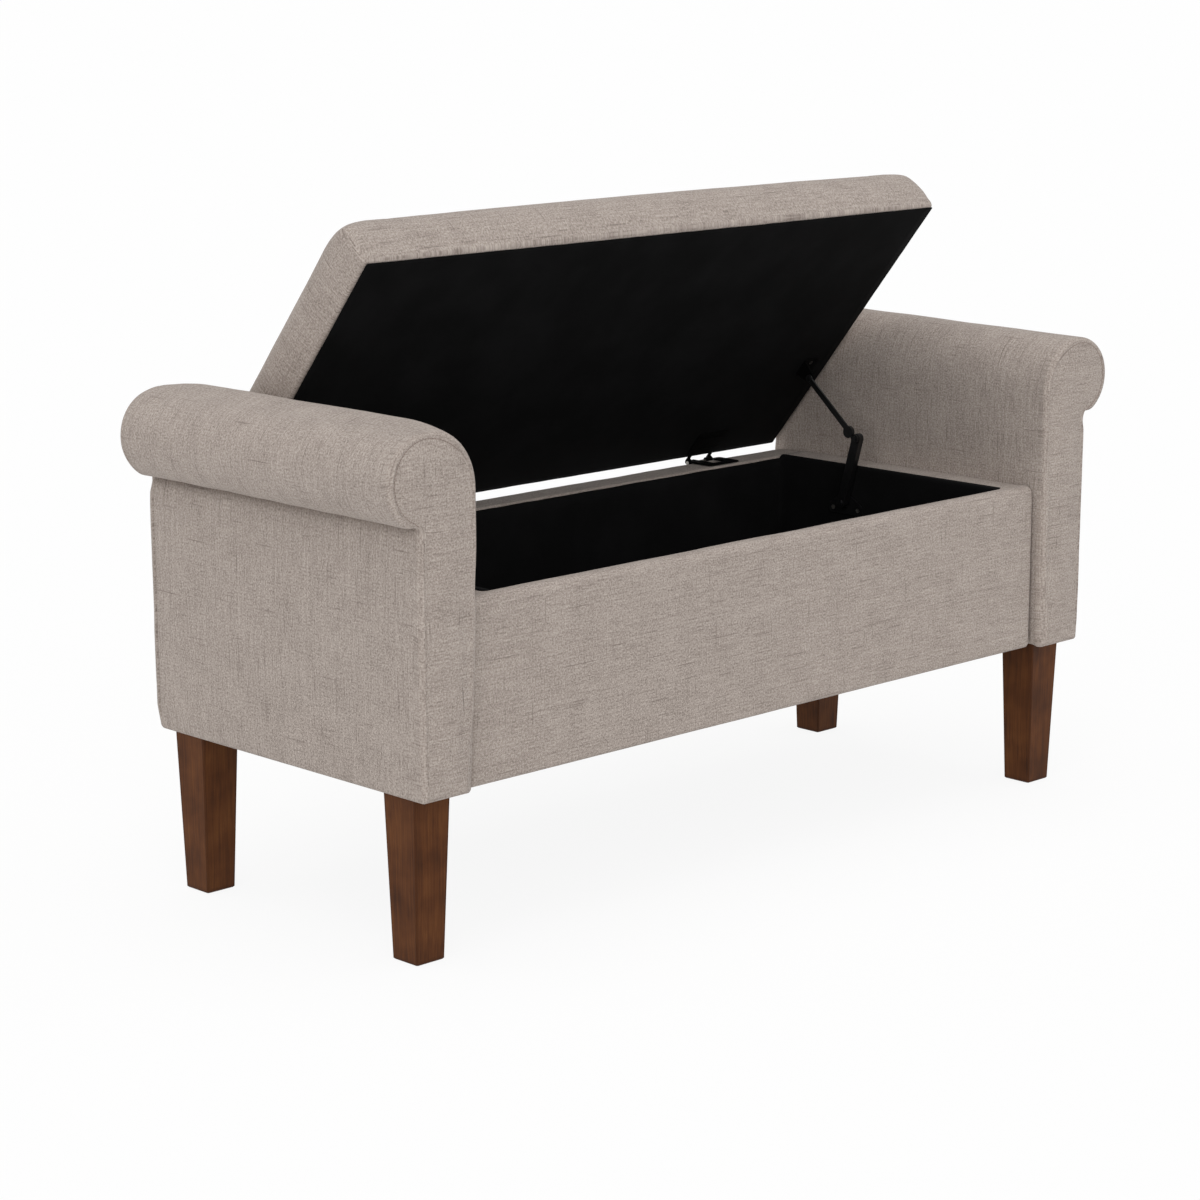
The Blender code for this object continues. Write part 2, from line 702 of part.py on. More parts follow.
def make_lid(pivot, origin, cloth, foam_material, timber, black):
    """Lid board, foam, cover turned in under the board, and the dust cover over the turn."""
    bm = bmesh.new()
    inset = LID_COVER + CLOTH + GAP
    corner = lid_corner(LID_BOARD_TOP) - LID_COVER
    add_loft(bm, [lid_ring(inset, z, corner) for z in (LID_BOARD_BOTTOM, LID_BOARD_TOP)])
    board = make_piece("lid_board", bm, timber, pivot, origin, round_over=BOARD_EDGE)

    bm = bmesh.new()
    add_loft(bm, lid_shape(LID_COVER + GAP, LID_BOARD_TOP + GAP))
    make_piece("lid_foam", bm, foam_material, pivot, origin)

    # Cover: a shell with its opening under the lid
    turn_top = TURN_BOTTOM + CLOTH
    turn = [lid_ring(LID_TURN, z, LID_BOTTOM_CORNER) for z in (turn_top, TURN_BOTTOM)]
    bm = bmesh.new()
    add_loft(bm, lid_shape(LID_COVER, turn_top)[::-1] + turn + lid_shape(0.0, TURN_BOTTOM))
    cover = make_piece("lid_cover", bm, cloth, pivot, origin)

    bm = bmesh.new()
    sheet_top = LID_UNDERSIDE + DUST_SHEET
    corner = LID_BOTTOM_CORNER / 2
    add_loft(bm, [lid_ring(DUST_MARGIN, z, corner) for z in (LID_UNDERSIDE, sheet_top)])
    dust = make_piece("lid_dust_cover", bm, black, pivot, origin)
    return [board, cover, dust]


# Hinges

def tab_outline(plate_low, plate_high):
    """Side view of a leaf's tab: flat where it joins the leaf, round about the pin."""
    bend = 0.9 * KNUCKLE_RADIUS
    root = PIN_Y - LEAF_BACK - BASE_BAR / 4
    return filleted([
        (root, plate_low, 0),
        (PIN_Y - KNUCKLE_RADIUS, plate_low, 0),
        (PIN_Y - KNUCKLE_RADIUS, PIN_Z - KNUCKLE_RADIUS, bend),
        (PIN_Y + KNUCKLE_RADIUS, PIN_Z - KNUCKLE_RADIUS, bend),
        (PIN_Y + KNUCKLE_RADIUS, plate_high, bend),
        (root, plate_high, 0),
    ])


def add_tabs(bm, centre, place_in, outline):
    """The two tabs of a leaf, at one distance either way from the hinge centre."""
    for sign in (-1, 1):
        ends = sorted((centre + sign * place_in, centre + sign * (place_in + TAB_WIDTH)))
        add_prism(bm, outline, "x", *ends)


def fuse_screws(leaf, screws, parent, origin):
    """Join the screws of a leaf to it, with the recesses of their heads."""
    bodies = bmesh.new()
    recesses = bmesh.new()
    for screw in screws:
        add_screw(bodies, screw)
        add_recess(recesses, screw)
    combine(leaf, make_cutter(f"{leaf.name}_screws", bodies, parent, origin), "UNION")
    cut([leaf], make_cutter(f"{leaf.name}_recesses", recesses, parent, origin))


def make_base_leaf(label, centre, parent, metal):
    """The leaf on the rim: two straps joined by a bar over the well's edge, with its screws."""
    half = HINGE_WIDTH / 2
    low = RIM_HEIGHT + GAP
    high = low + LEAF
    front = PIN_Y - BASE_LEAF_REACH
    rear = PIN_Y - LEAF_BACK
    outline = filleted([
        (centre - half, front, 0.004), (centre + half, front, 0.004),
        (centre + half, rear, 0.003), (centre + TAB_PLACE, rear, 0),
        (centre + TAB_PLACE, front + BASE_BAR, 0.002),
        (centre - TAB_PLACE, front + BASE_BAR, 0.002),
        (centre - TAB_PLACE, rear, 0), (centre - half, rear, 0.003)], steps=3)
    bm = bmesh.new()
    add_prism(bm, outline, "z", low, high)
    leaf = make_piece(f"{label}_hinge_base_leaf", bm, metal, parent)
    bm = bmesh.new()
    add_tabs(bm, centre, TAB_PLACE, tab_outline(low, high))
    combine(leaf, make_cutter(f"{label}_base_tabs", bm, parent), "UNION")
    strap = (TAB_PLACE + half) / 2
    screws = [((centre + sign * strap, PIN_Y - BASE_LEAF_REACH / 2, high), "z", -1, HINGE_SCREW)
              for sign in (-1, 1)]
    fuse_screws(leaf, screws, parent, (0.0, 0.0, 0.0))
    return leaf, screws


def make_lid_leaf(label, centre, pivot, origin, metal):
    """The leaf under the lid, with two shallow ribs pressed into it, and its screws."""
    half = HINGE_WIDTH / 2
    high = LID_UNDERSIDE - GAP
    low = high - LEAF
    front = PIN_Y - LID_LEAF_REACH
    rear = PIN_Y - LEAF_BACK
    bm = bmesh.new()
    add_prism(bm, rectangle((centre - half, front), (centre + half, rear), 0.004, 3), "z", low, high)
    leaf = make_piece(f"{label}_hinge_lid_leaf", bm, metal, pivot, origin)
    bm = bmesh.new()
    add_tabs(bm, centre, TAB_PLACE + TAB_WIDTH + GAP, tab_outline(low, high))
    combine(leaf, make_cutter(f"{label}_lid_tabs", bm, pivot, origin), "UNION")
    bm = bmesh.new()
    for share in RIB_PLACES:
        y = front + share * (rear - front)
        add_prism(bm, rectangle((y - RIB_WIDTH / 2, low - RIB), (y + RIB_WIDTH / 2, low + RIB)),
                  "x", centre - RIB_LENGTH / 2, centre + RIB_LENGTH / 2)
    combine(leaf, make_cutter(f"{label}_ribs", bm, pivot, origin), "UNION")
    screws = [((centre + offset * HINGE_WIDTH / 3, (front + rear) / 2, low), "z", 1, LID_SCREW)
              for offset in (-1, 0, 1)]
    fuse_screws(leaf, screws, pivot, origin)
    return leaf, screws


def make_hinge_pin(label, centre, parent, pivot, origin, leaves, steel):
    """A headed pin through the tabs of both leaves."""
    end = TAB_PLACE + 2 * (TAB_WIDTH + GAP)
    profile = [
        (PIN_HEAD_RADIUS, -end - PIN_HEAD), (PIN_HEAD_RADIUS, -end), (PIN_RADIUS, -end),
        (PIN_RADIUS, end), (PIN_HEAD_RADIUS, end), (PIN_HEAD_RADIUS, end + PIN_HEAD),
    ]
    bm = bmesh.new()
    add_turned(bm, "x", (PIN_Y, PIN_Z), [(radius, centre + along) for radius, along in profile])
    make_piece(f"{label}_hinge_pin", bm, steel, parent)
    bore = circle((PIN_Y, PIN_Z), PIN_RADIUS + BORE_GAP)
    span = (centre - end, centre + end)
    cut([leaves[0]], flat_cutter(f"{label}_base_bore", [bore], span, parent))
    cut([leaves[1]], flat_cutter(f"{label}_lid_bore", [bore], span, pivot, origin))


def make_knuckle_relief(parent):
    """Room for the knuckles, where they press in the padding behind the rim."""
    bm = bmesh.new()
    half = HINGE_WIDTH / 2
    radius = KNUCKLE_RADIUS + KNUCKLE_CLEARANCE
    for _, side in SIDES:
        centre = side * HINGE_X
        add_prism(bm, circle((PIN_Y, PIN_Z), radius), "x", centre - half, centre + half)
    return make_cutter("knuckle_relief", bm, parent)


# Stays

def stay_pivots():
    """Foot, elbow and lid rivets in the YZ plane, with the lid open."""
    pin = (PIN_Y, PIN_Z)
    foot = (PIN_Y - STAY_FOOT_AHEAD, RIM_HEIGHT - STAY_FOOT_DROP)
    closed_top = (PIN_Y - STAY_TOP_AHEAD, LID_UNDERSIDE - STAY_TOP_DROP)
    top = turned(closed_top, pin, -LID_OPEN_ANGLE)
    elbow = meeting_point(foot, LOWER_ARM, top, UPPER_ARM)
    return foot, elbow, top, closed_top


def tilt_towards(start, end):
    """Turn about X that points +Z from one point of the YZ plane to another."""
    return math.atan2(start[0] - end[0], end[1] - start[1])


def flat_cutter(name, outlines, axis_ends, parent, origin=(0.0, 0.0, 0.0)):
    """Hidden plates across X, one for each outline."""
    bm = bmesh.new()
    for outline in outlines:
        add_prism(bm, outline, "x", *sorted(axis_ends))
    return make_cutter(name, bm, parent, origin)


def make_stay(label, side, root, pivot, origin, metal, steel):
    """One stay: foot plate, channel-shaped lower arm, flat upper arm, lid bracket and rivets."""
    foot, elbow, top, closed_top = stay_pivots()

    # Foot plate on the side wall
    plate = (side * (PLATE_X - STAY_PLATE), side * PLATE_X)
    wide = FOOT_HALF_LENGTH
    shape = (
        (-wide, -0.0175, 0.005), (wide, -0.0175, 0.005), (wide, -0.003, 0.006),
        (0.009, 0.009, 0.007), (-0.009, 0.009, 0.007), (-wide, -0.003, 0.006),
    )
    bm = bmesh.new()
    outline = filleted([(foot[0] + y, foot[1] + z, radius) for y, z, radius in shape], steps=3)
    add_prism(bm, outline, "x", *plate)
    foot_plate = make_piece(f"{label}_stay_foot_plate", bm, metal, root)
    bore = RIVET_RADIUS + BORE_GAP
    bore_span = (side * (WEB_X - REACH), side * (PLATE_X + GAP))
    cut([foot_plate], flat_cutter(f"{label}_foot_bore", [circle(foot, bore)], bore_span, root))

    # Foot rivet: head inside the well, shank through the channel's web, shoulder to the plate
    shoulder_start = WEB_X + CHANNEL_WALL + GAP
    shoulder_end = PLATE_X - STAY_PLATE - GAP
    profile = (
        (RIVET_HEAD_RADIUS * 0.7, WEB_X - GAP - RIVET_HEAD),
        (RIVET_HEAD_RADIUS, WEB_X - GAP - RIVET_HEAD / 2), (RIVET_HEAD_RADIUS, WEB_X - GAP),
        (RIVET_RADIUS, WEB_X - GAP), (RIVET_RADIUS, shoulder_start),
        (RIVET_HEAD_RADIUS, shoulder_start), (RIVET_HEAD_RADIUS, shoulder_end),
        (RIVET_RADIUS, shoulder_end), (RIVET_RADIUS, PLATE_X - GAP),
    )
    bm = bmesh.new()
    add_turned(bm, "x", foot, [(radius, side * along) for radius, along in profile])
    make_piece(f"{label}_stay_foot_rivet", bm, steel, root)

    # Lower arm: a channel open towards the wall, standing on its rivet
    lower = make_empty(f"{label}_stay_foot_pivot", root, (0, *foot), tilt_towards(foot, elbow))
    bm = bmesh.new()
    ends = sorted((side * WEB_X, side * CHANNEL_X))
    add_prism(bm, slot((0, 0), (0, LOWER_ARM), CHANNEL_RADIUS), "x", *ends)
    lower_arm = make_piece(f"{label}_stay_lower_arm", bm, metal, lower)
    pocket = slot((0, 0), (0, LOWER_ARM), CHANNEL_RADIUS - CHANNEL_WALL)
    pocket_span = (side * (WEB_X + CHANNEL_WALL), side * (CHANNEL_X + REACH))
    cut([lower_arm], flat_cutter(f"{label}_channel", [pocket], pocket_span, lower))
    web_span = (side * (WEB_X - REACH), side * (WEB_X + REACH))
    cut([lower_arm], flat_cutter(f"{label}_web_bore", [circle((0, 0), bore)], web_span, lower))

    # Upper arm: a flat link that hangs from the lid's rivet, with a round boss near the elbow
    link = (side * (LINK_X - UPPER_ARM_PLATE), side * LINK_X)
    hang = tilt_towards(top, elbow) + math.radians(LID_OPEN_ANGLE)
    upper = make_empty(f"{label}_stay_lid_pivot", pivot,
                       (0, closed_top[0] - origin[1], closed_top[1] - origin[2]), hang)
    bm = bmesh.new()
    bar = rectangle((-UPPER_ARM_RADIUS, 0), (UPPER_ARM_RADIUS, UPPER_ARM))
    add_prism(bm, bar, "x", *sorted(link))
    upper_arm = make_piece(f"{label}_stay_upper_arm", bm, metal, upper)
    eyes = [circle((0, 0), EYE_RADIUS), circle((0, UPPER_ARM), ELBOW_RADIUS)]
    combine(upper_arm, flat_cutter(f"{label}_eyes", eyes, link, upper), "UNION")
    knob = circle((0, UPPER_ARM - KNOB_PLACE), KNOB_RADIUS, 20)
    knob_span = (side * (LINK_X - UPPER_ARM_PLATE - KNOB_RISE), side * LINK_X)
    combine(upper_arm, flat_cutter(f"{label}_knob", [knob], knob_span, upper), "UNION")
    head = circle((0, UPPER_ARM), RIVET_HEAD_RADIUS * 0.8)
    head_span = (side * (LINK_X - UPPER_ARM_PLATE - RIVET_HEAD), side * (LINK_X - GAP))
    combine(upper_arm, flat_cutter(f"{label}_elbow_head", [head], head_span, upper), "UNION")
    cut([upper_arm], flat_cutter(f"{label}_eye_bore", [circle((0, 0), bore)], web_span, upper))

    # Lid bracket: a leaf under the lid with an ear beside the upper arm
    leaf_top = LID_UNDERSIDE - GAP
    leaf_low = leaf_top - STAY_PLATE
    ear = sorted((side * WEB_X, side * (WEB_X + STAY_PLATE)))
    reach = sorted((side * WEB_X, side * (WEB_X + LID_LEG)))
    half = LID_LEG_LENGTH / 2
    y, z = closed_top
    bm = bmesh.new()
    leaf = rectangle((reach[0], y - half), (reach[1], y + half), 0.004, 3)
    add_prism(bm, leaf, "z", leaf_low, leaf_top)
    bracket = make_piece(f"{label}_stay_lid_bracket", bm, metal, pivot, origin)
    outline = filleted([
        (y - 0.8 * half, leaf_top - GAP, 0), (y - EYE_RADIUS, z - EYE_RADIUS, 0.9 * EYE_RADIUS),
        (y + EYE_RADIUS, z - EYE_RADIUS, 0.9 * EYE_RADIUS), (y + 0.8 * half, leaf_top - GAP, 0)])
    ear_cutter = flat_cutter(f"{label}_ear", [outline], ear, pivot, origin)
    combine(bracket, ear_cutter, "UNION")
    bore_cutter = flat_cutter(f"{label}_ear_bore", [circle((y, z), bore)], web_span, pivot, origin)
    cut([bracket], bore_cutter)

    # Lid rivet
    near = LINK_X - UPPER_ARM_PLATE - GAP
    far = WEB_X + STAY_PLATE + GAP
    profile = (
        (RIVET_HEAD_RADIUS, near - RIVET_HEAD), (RIVET_HEAD_RADIUS, near), (RIVET_RADIUS, near),
        (RIVET_RADIUS, far), (RIVET_HEAD_RADIUS, far), (RIVET_HEAD_RADIUS, far + RIVET_HEAD),
    )
    bm = bmesh.new()
    add_turned(bm, "x", closed_top, [(radius, side * along) for radius, along in profile])
    make_piece(f"{label}_stay_lid_rivet", bm, steel, pivot, origin)
    return foot_plate, bracket


# Screws of the stays

def stay_screws(side):
    """Screws of one stay: two in its foot plate, two in its lid bracket."""
    foot, _, _, closed_top = stay_pivots()
    lid_x = side * (WEB_X + (STAY_PLATE + LID_LEG) / 2)
    in_bench = {}
    in_lid = {}
    for end, sign in ENDS:
        head = (side * (PLATE_X - STAY_PLATE), foot[0] + sign * FOOT_SCREW_SPREAD,
                foot[1] - FOOT_SCREW_DROP)
        in_bench[end] = (head, "x", side, FOOT_SCREW)
        head = (lid_x, closed_top[0] + sign * LID_SCREW_SPREAD, LID_UNDERSIDE - GAP - STAY_PLATE)
        in_lid[end] = (head, "z", 1, LID_SCREW)
    return in_bench, in_lid


def make_screws(prefix, screws, parent, origin, steel):
    """Screws as pieces of their own, their heads with a crossed recess."""
    recesses = bmesh.new()
    pieces = []
    for end, screw in screws.items():
        bm = bmesh.new()
        add_screw(bm, screw)
        add_recess(recesses, screw)
        pieces.append(make_piece(f"{prefix}_{end}_screw", bm, steel, parent, origin))
    cut(pieces, make_cutter(f"{prefix}_recesses", recesses, parent, origin))


def cut_screw_holes(name, screws, carriers, parent, origin):
    """The holes of screws in all that they pass through."""
    holes = bmesh.new()
    for screw in screws:
        add_screw(holes, screw, BORE_GAP)
    cut(carriers, make_cutter(name, holes, parent, origin))


# Whole bench

def open_depth():
    """How far back the open lid reaches: its upper rear edge, rounded."""
    centre = (LID_REAR_Y - LID_EDGE_RADIUS, LID_TOP - LID_EDGE_RADIUS)
    return turned(centre, (PIN_Y, PIN_Z), -LID_OPEN_ANGLE)[0] + LID_EDGE_RADIUS


def main():
    for old in list(bpy.data.objects):
        bpy.data.objects.remove(old)

    cloth = make_material("heathered cloth", (0.376, 0.319, 0.279), 0.92)
    black = make_material("black lining", (0.004, 0.004, 0.004), 0.95)
    timber = make_material("plywood", (0.55, 0.40, 0.24), 0.75)
    card = make_material("fibreboard", (0.30, 0.20, 0.11), 0.85)
    foam = make_material("foam", (0.80, 0.72, 0.48), 0.9)
    walnut = make_material("walnut stain", (0.087, 0.036, 0.015), 0.45)
    metal = make_material("black steel", (0.012, 0.012, 0.012), 0.4, 0.8)
    steel = make_material("zinc-plated steel", (0.50, 0.50, 0.49), 0.35, 1.0)

    # The origin lies on the floor under the middle of the bench as it stands open
    shift = (ARM_FACE_Y - open_depth()) / 2
    root = make_empty("bench", None, (0.0, shift, 0.0))
    origin = (0.0, PIN_Y, PIN_Z)
    lid_pivot = make_empty("lid_pivot", root, origin, -math.radians(LID_OPEN_ANGLE))

    frames = [make_arm(label, side, root, cloth, timber, card) for label, side in SIDES]
    on_bench = make_box(root, cloth, timber, black)
    make_legs(root, frames + [make_underside(root, black)], walnut, steel)
    on_lid = make_lid(lid_pivot, origin, cloth, foam, timber, black)

    back_cover = on_bench[0]
    cut([back_cover], make_knuckle_relief(root))
    bench_screws = []
    lid_screws = []
    for label, side in SIDES:
        centre = side * HINGE_X
        base_leaf, base_screws = make_base_leaf(label, centre, root, metal)
        lid_leaf, leaf_screws = make_lid_leaf(label, centre, lid_pivot, origin, metal)
        make_hinge_pin(label, centre, root, lid_pivot, origin, (base_leaf, lid_leaf), steel)
        foot_plate, bracket = make_stay(label, side, root, lid_pivot, origin, metal, steel)
        in_bench, in_lid = stay_screws(side)
        make_screws(f"{label}_stay_foot", in_bench, root, (0.0, 0.0, 0.0), steel)
        make_screws(f"{label}_stay_lid", in_lid, lid_pivot, origin, steel)
        bench_screws += base_screws + list(in_bench.values())
        lid_screws += leaf_screws + list(in_lid.values())
        on_bench.append(foot_plate)
        on_lid.append(bracket)
    cut_screw_holes("bench_screw_holes", bench_screws, on_bench, root, (0.0, 0.0, 0.0))
    cut_screw_holes("lid_screw_holes", lid_screws, on_lid, lid_pivot, origin)


main()
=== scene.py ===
"""Looks of the rolled-arm storage bench: heathered cloth, stained legs, black fittings, a studio.

Metres, +Z up, front towards -Y, the lid open as in the frame.
"""

import json
import logging
import math
from collections.abc import Callable, Sequence
from dataclasses import dataclass
from enum import Enum

import bmesh
import bpy
import numpy as np
from mathutils import Matrix, Vector, kdtree, noise


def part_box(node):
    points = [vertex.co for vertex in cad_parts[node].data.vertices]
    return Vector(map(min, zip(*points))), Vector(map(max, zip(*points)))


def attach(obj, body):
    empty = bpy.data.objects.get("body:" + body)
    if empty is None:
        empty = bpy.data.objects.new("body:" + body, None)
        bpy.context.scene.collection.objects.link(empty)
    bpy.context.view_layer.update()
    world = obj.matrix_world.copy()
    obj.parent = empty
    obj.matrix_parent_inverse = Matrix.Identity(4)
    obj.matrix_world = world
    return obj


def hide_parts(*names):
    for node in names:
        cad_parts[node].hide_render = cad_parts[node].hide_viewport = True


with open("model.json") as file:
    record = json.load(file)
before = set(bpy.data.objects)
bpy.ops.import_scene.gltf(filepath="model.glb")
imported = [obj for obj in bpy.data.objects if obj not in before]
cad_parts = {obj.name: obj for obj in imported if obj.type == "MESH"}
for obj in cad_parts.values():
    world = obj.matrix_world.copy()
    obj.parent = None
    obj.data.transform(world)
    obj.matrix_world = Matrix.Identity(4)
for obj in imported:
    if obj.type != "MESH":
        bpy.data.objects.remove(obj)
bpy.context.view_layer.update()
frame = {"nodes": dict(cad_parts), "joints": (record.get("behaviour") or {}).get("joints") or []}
LOG = logging.getLogger("bench")

Colour = tuple[float, float, float]
Slack = tuple[tuple[float, float, float], ...]
WEAVE = "weave"  # corner attribute: place in the cloth, in metres


class Place(Enum):
    """A side of the bench; its value is the side's direction along its axis."""

    @property
    def label(self) -> str:
        """The side's name in the names of nodes."""
        return self.name.lower()


class Side(Place):
    """The two ends of the bench, as seen from the front."""

    LEFT = -1
    RIGHT = 1


class Facing(Place):
    """The long sides of the bench."""

    FRONT = -1
    REAR = 1


# Shader maths


class Wire:
    """An output of a shader node; arithmetic on it adds Math nodes."""

    def __init__(self, graph: "Graph", socket: bpy.types.NodeSocket) -> None:
        """Keep the graph and the socket."""
        self.graph = graph
        self.socket = socket

    def __add__(self, other: "Wire | float") -> "Wire":
        """Sum."""
        return self.graph.maths("ADD", self, other)

    def __sub__(self, other: "Wire | float") -> "Wire":
        """Difference."""
        return self.graph.maths("SUBTRACT", self, other)

    def __rsub__(self, other: float) -> "Wire":
        """Difference, the wire last."""
        return self.graph.maths("SUBTRACT", other, self)

    def __mul__(self, other: "Wire | float") -> "Wire":
        """Product."""
        return self.graph.maths("MULTIPLY", self, other)

    __radd__ = __add__
    __rmul__ = __mul__

    def __abs__(self) -> "Wire":
        """Size without sign."""
        return self.graph.maths("ABSOLUTE", self)

    def floor(self) -> "Wire":
        """Whole part."""
        return self.graph.maths("FLOOR", self)

    def sine(self) -> "Wire":
        """Sine of an angle in radians."""
        return self.graph.maths("SINE", self)

    def larger(self, other: "Wire | float") -> "Wire":
        """The larger of two values."""
        return self.graph.maths("MAXIMUM", self, other)

    def step(self, low: float, high: float) -> "Wire":
        """Smooth rise from 0 at a low value to 1 at a high one."""
        settings = {"interpolation_type": "SMOOTHSTEP"}
        return self.graph.node("ShaderNodeMapRange", settings, {0: self, 1: low, 2: high})

    def outputs(self) -> list["Wire"]:
        """All outputs of the node that this wire comes from."""
        return [Wire(self.graph, socket) for socket in self.socket.node.outputs]


class Graph:
    """The nodes of one material or of the world."""

    def __init__(self, owner: bpy.types.Material | bpy.types.World) -> None:
        """Start from an empty tree."""
        owner.use_nodes = True
        self.tree = owner.node_tree
        self.tree.nodes.clear()

    def node(
        self,
        kind: str,
        settings: dict[str, object] | None = None,
        inputs: dict[int | str, object] | None = None,
        output: int | str = 0,
    ) -> Wire | None:
        """Add a node.

        Args:
            kind: The node's type.
            settings: What is set on the node first; "stops" fills a colour ramp.
            inputs: Values or wires, by the name or number of their socket.
            output: Name or number of the output that is returned.

        Returns:
            The output as a wire, or None where the node has no outputs.
        """
        made = self.tree.nodes.new(kind)
        for key, value in (settings or {}).items():
            if key == "stops":
                ramp = made.color_ramp
                while len(ramp.elements) < len(value):
                    ramp.elements.new(1.0)
                for element, (place, colour) in zip(ramp.elements, value):
                    element.position = place
                    element.color = (*colour, 1.0)
            else:
                setattr(made, key, value)
        for key, value in (inputs or {}).items():
            if isinstance(value, Wire):
                self.tree.links.new(value.socket, made.inputs[key])
            else:
                made.inputs[key].default_value = value
        return Wire(self, made.outputs[output]) if made.outputs else None

    def maths(self, operation: str, *values: Wire | float) -> Wire:
        """The result of a Math node for its inputs in order."""
        return self.node("ShaderNodeMath", {"operation": operation}, dict(enumerate(values)))

    def place(self) -> Wire:
        """Each point's place in its object."""
        return self.node("ShaderNodeTexCoord", output="Object")

    def join(self, x: Wire | float, y: Wire | float, z: Wire | float = 0.0) -> Wire:
        """A vector from three values."""
        return self.node("ShaderNodeCombineXYZ", inputs={0: x, 1: y, 2: z})

    def split(self, vector: Wire) -> list[Wire]:
        """The three values of a vector."""
        return self.node("ShaderNodeSeparateXYZ", inputs={0: vector}).outputs()

    def clouds(self, place: Wire, scale: float = 1.0, detail: float = 1.0) -> Wire:
        """Soft noise about 0.5.

        Args:
            place: Where the noise is read.
            scale: Features for each unit of the place.
            detail: Octaves on top of the first.

        Returns:
            The noise's value.
        """
        inputs = {"Vector": place, "Scale": scale, "Detail": detail, "Roughness": 0.55}
        return self.node("ShaderNodeTexNoise", inputs=inputs)

    def mix(self, share: Wire, first: Wire | Colour, second: Wire | Colour) -> Wire:
        """A blend from a first colour at 0 to a second at 1."""
        colours = [c if isinstance(c, Wire) else (*c, 1.0) for c in (first, second)]
        inputs = {0: share, 6: colours[0], 7: colours[1]}
        return self.node("ShaderNodeMix", {"data_type": "RGBA"}, inputs, output=2)

    def ramp(self, value: Wire, stops: Sequence[tuple[float, Colour]]) -> Wire:
        """A colour for each value from 0 to 1."""
        return self.node("ShaderNodeValToRGB", {"stops": stops}, {0: value})

    def relief(self, height: Wire, depth: float, strength: float = 0.5) -> Wire:
        """A bumped normal.

        Args:
            height: Height from 0 to 1.
            depth: Metres for a height of 1.
            strength: Share of the effect.

        Returns:
            The normal.
        """
        inputs = {"Height": height, "Distance": depth, "Strength": strength}
        return self.node("ShaderNodeBump", inputs=inputs)


# Finishes


@dataclass(frozen=True)
class Finish:
    """A material with a Principled BSDF."""

    name: str

    def inputs(self, graph: Graph) -> dict[str, object]:
        """Values and wires of the shader, by socket name."""
        raise NotImplementedError

    def make(self) -> bpy.types.Material:
        """The finish as a material."""
        material = bpy.data.materials.new(self.name)
        graph = Graph(material)
        shader = graph.node("ShaderNodeBsdfPrincipled", inputs=self.inputs(graph))
        graph.node("ShaderNodeOutputMaterial", inputs={0: shader})
        return material


@dataclass(frozen=True)
class HeatheredCloth(Finish):
    """Plain-woven linen-look cloth of mottled threads, some of them slubbed."""

    pale: Colour = (0.535, 0.470, 0.421)
    middle: Colour = (0.375, 0.319, 0.283)
    dark: Colour = (0.205, 0.168, 0.145)
    slub: Colour = (0.150, 0.115, 0.098)
    thread: float = 0.0012
    run: float = 0.022  # length over which a thread keeps its tone
    slub_run: float = 0.062
    fleck: float = 0.0023
    blotch: float = 0.045
    slub_shade: float = 0.56
    depth: float = 0.0004

    def inputs(self, graph: Graph) -> dict[str, object]:
        """Tones for each thread, laid out by each piece's weave; odd factors keep rows apart."""
        place = graph.node("ShaderNodeAttribute", {"attribute_name": WEAVE}, output="Vector")
        across, along, _ = graph.split(place)
        warp, weft = across * (1 / self.thread), along * (1 / self.thread)
        warp_row, weft_row = warp.floor(), weft.floor()
        warp_tone = graph.clouds(graph.join(warp_row * 7.31, along * (1 / self.run)))
        weft_tone = graph.clouds(graph.join(across * (1 / self.run), weft_row * 5.77, 9.0))
        streaks = graph.clouds(graph.join(across * 8.0, weft_row * 2.91, 14.0), 1.0, 0.0)
        flecks = graph.clouds(place, 1 / self.fleck, 2.5)
        mottle = graph.clouds(place, 1 / self.blotch, 2.0)
        threads = warp_tone * 0.30 + weft_tone * 0.46 + streaks * 0.22
        tone = threads + flecks * 1.50 + mottle * 0.20 - 0.840
        heather = graph.ramp(tone, [(0.12, self.dark), (0.5, self.middle), (0.88, self.pale)])
        warp_place = graph.join(warp_row * 3.17 + 51.0, along * (1 / self.slub_run))
        weft_place = graph.join(across * (1 / self.slub_run), weft_row * 4.43 + 23.0, 4.0)
        warp_slub = graph.clouds(warp_place, 1.0, 0.0).step(0.72, 0.87)
        slub = warp_slub.larger(graph.clouds(weft_place, 1.0, 0.0).step(0.69, 0.85))
        crossing = (warp * math.pi).sine() * (weft * math.pi).sine()
        height = crossing * 0.5 + flecks * 0.8 + slub * 0.4
        return {
            "Base Color": graph.mix(slub * self.slub_shade, heather, self.slub),
            "Roughness": 0.93,
            "Specular IOR Level": 0.15,
            "Sheen Weight": 0.10,
            "Sheen Roughness": 0.6,
            "Normal": graph.relief(height, self.depth, 0.55),
        }


@dataclass(frozen=True)
class BlackCloth(Finish):
    """Thin black non-woven sheet, embossed with fine dots."""

    deep: Colour = (0.0026, 0.0026, 0.0027)
    worn: Colour = (0.0058, 0.0057, 0.0060)
    dots: float = 2100.0

    def inputs(self, graph: Graph) -> dict[str, object]:
        """Dots in rows, over matted fibres."""
        place = graph.place()
        x, y, z = graph.split(place)
        dots = (x * self.dots).sine() * (y * self.dots + z * self.dots).sine()
        fibres = graph.clouds(place, 900.0, 2.0)
        cloud = graph.clouds(place, 14.0, 2.0)
        tone = (cloud * 0.6 + fibres * 0.4).step(0.35, 0.70)
        return {
            "Base Color": graph.mix(tone, self.deep, self.worn),
            "Roughness": 0.96,
            "Specular IOR Level": 0.10,
            "Normal": graph.relief(dots * 0.3 + fibres * 0.7, 0.0002),
        }


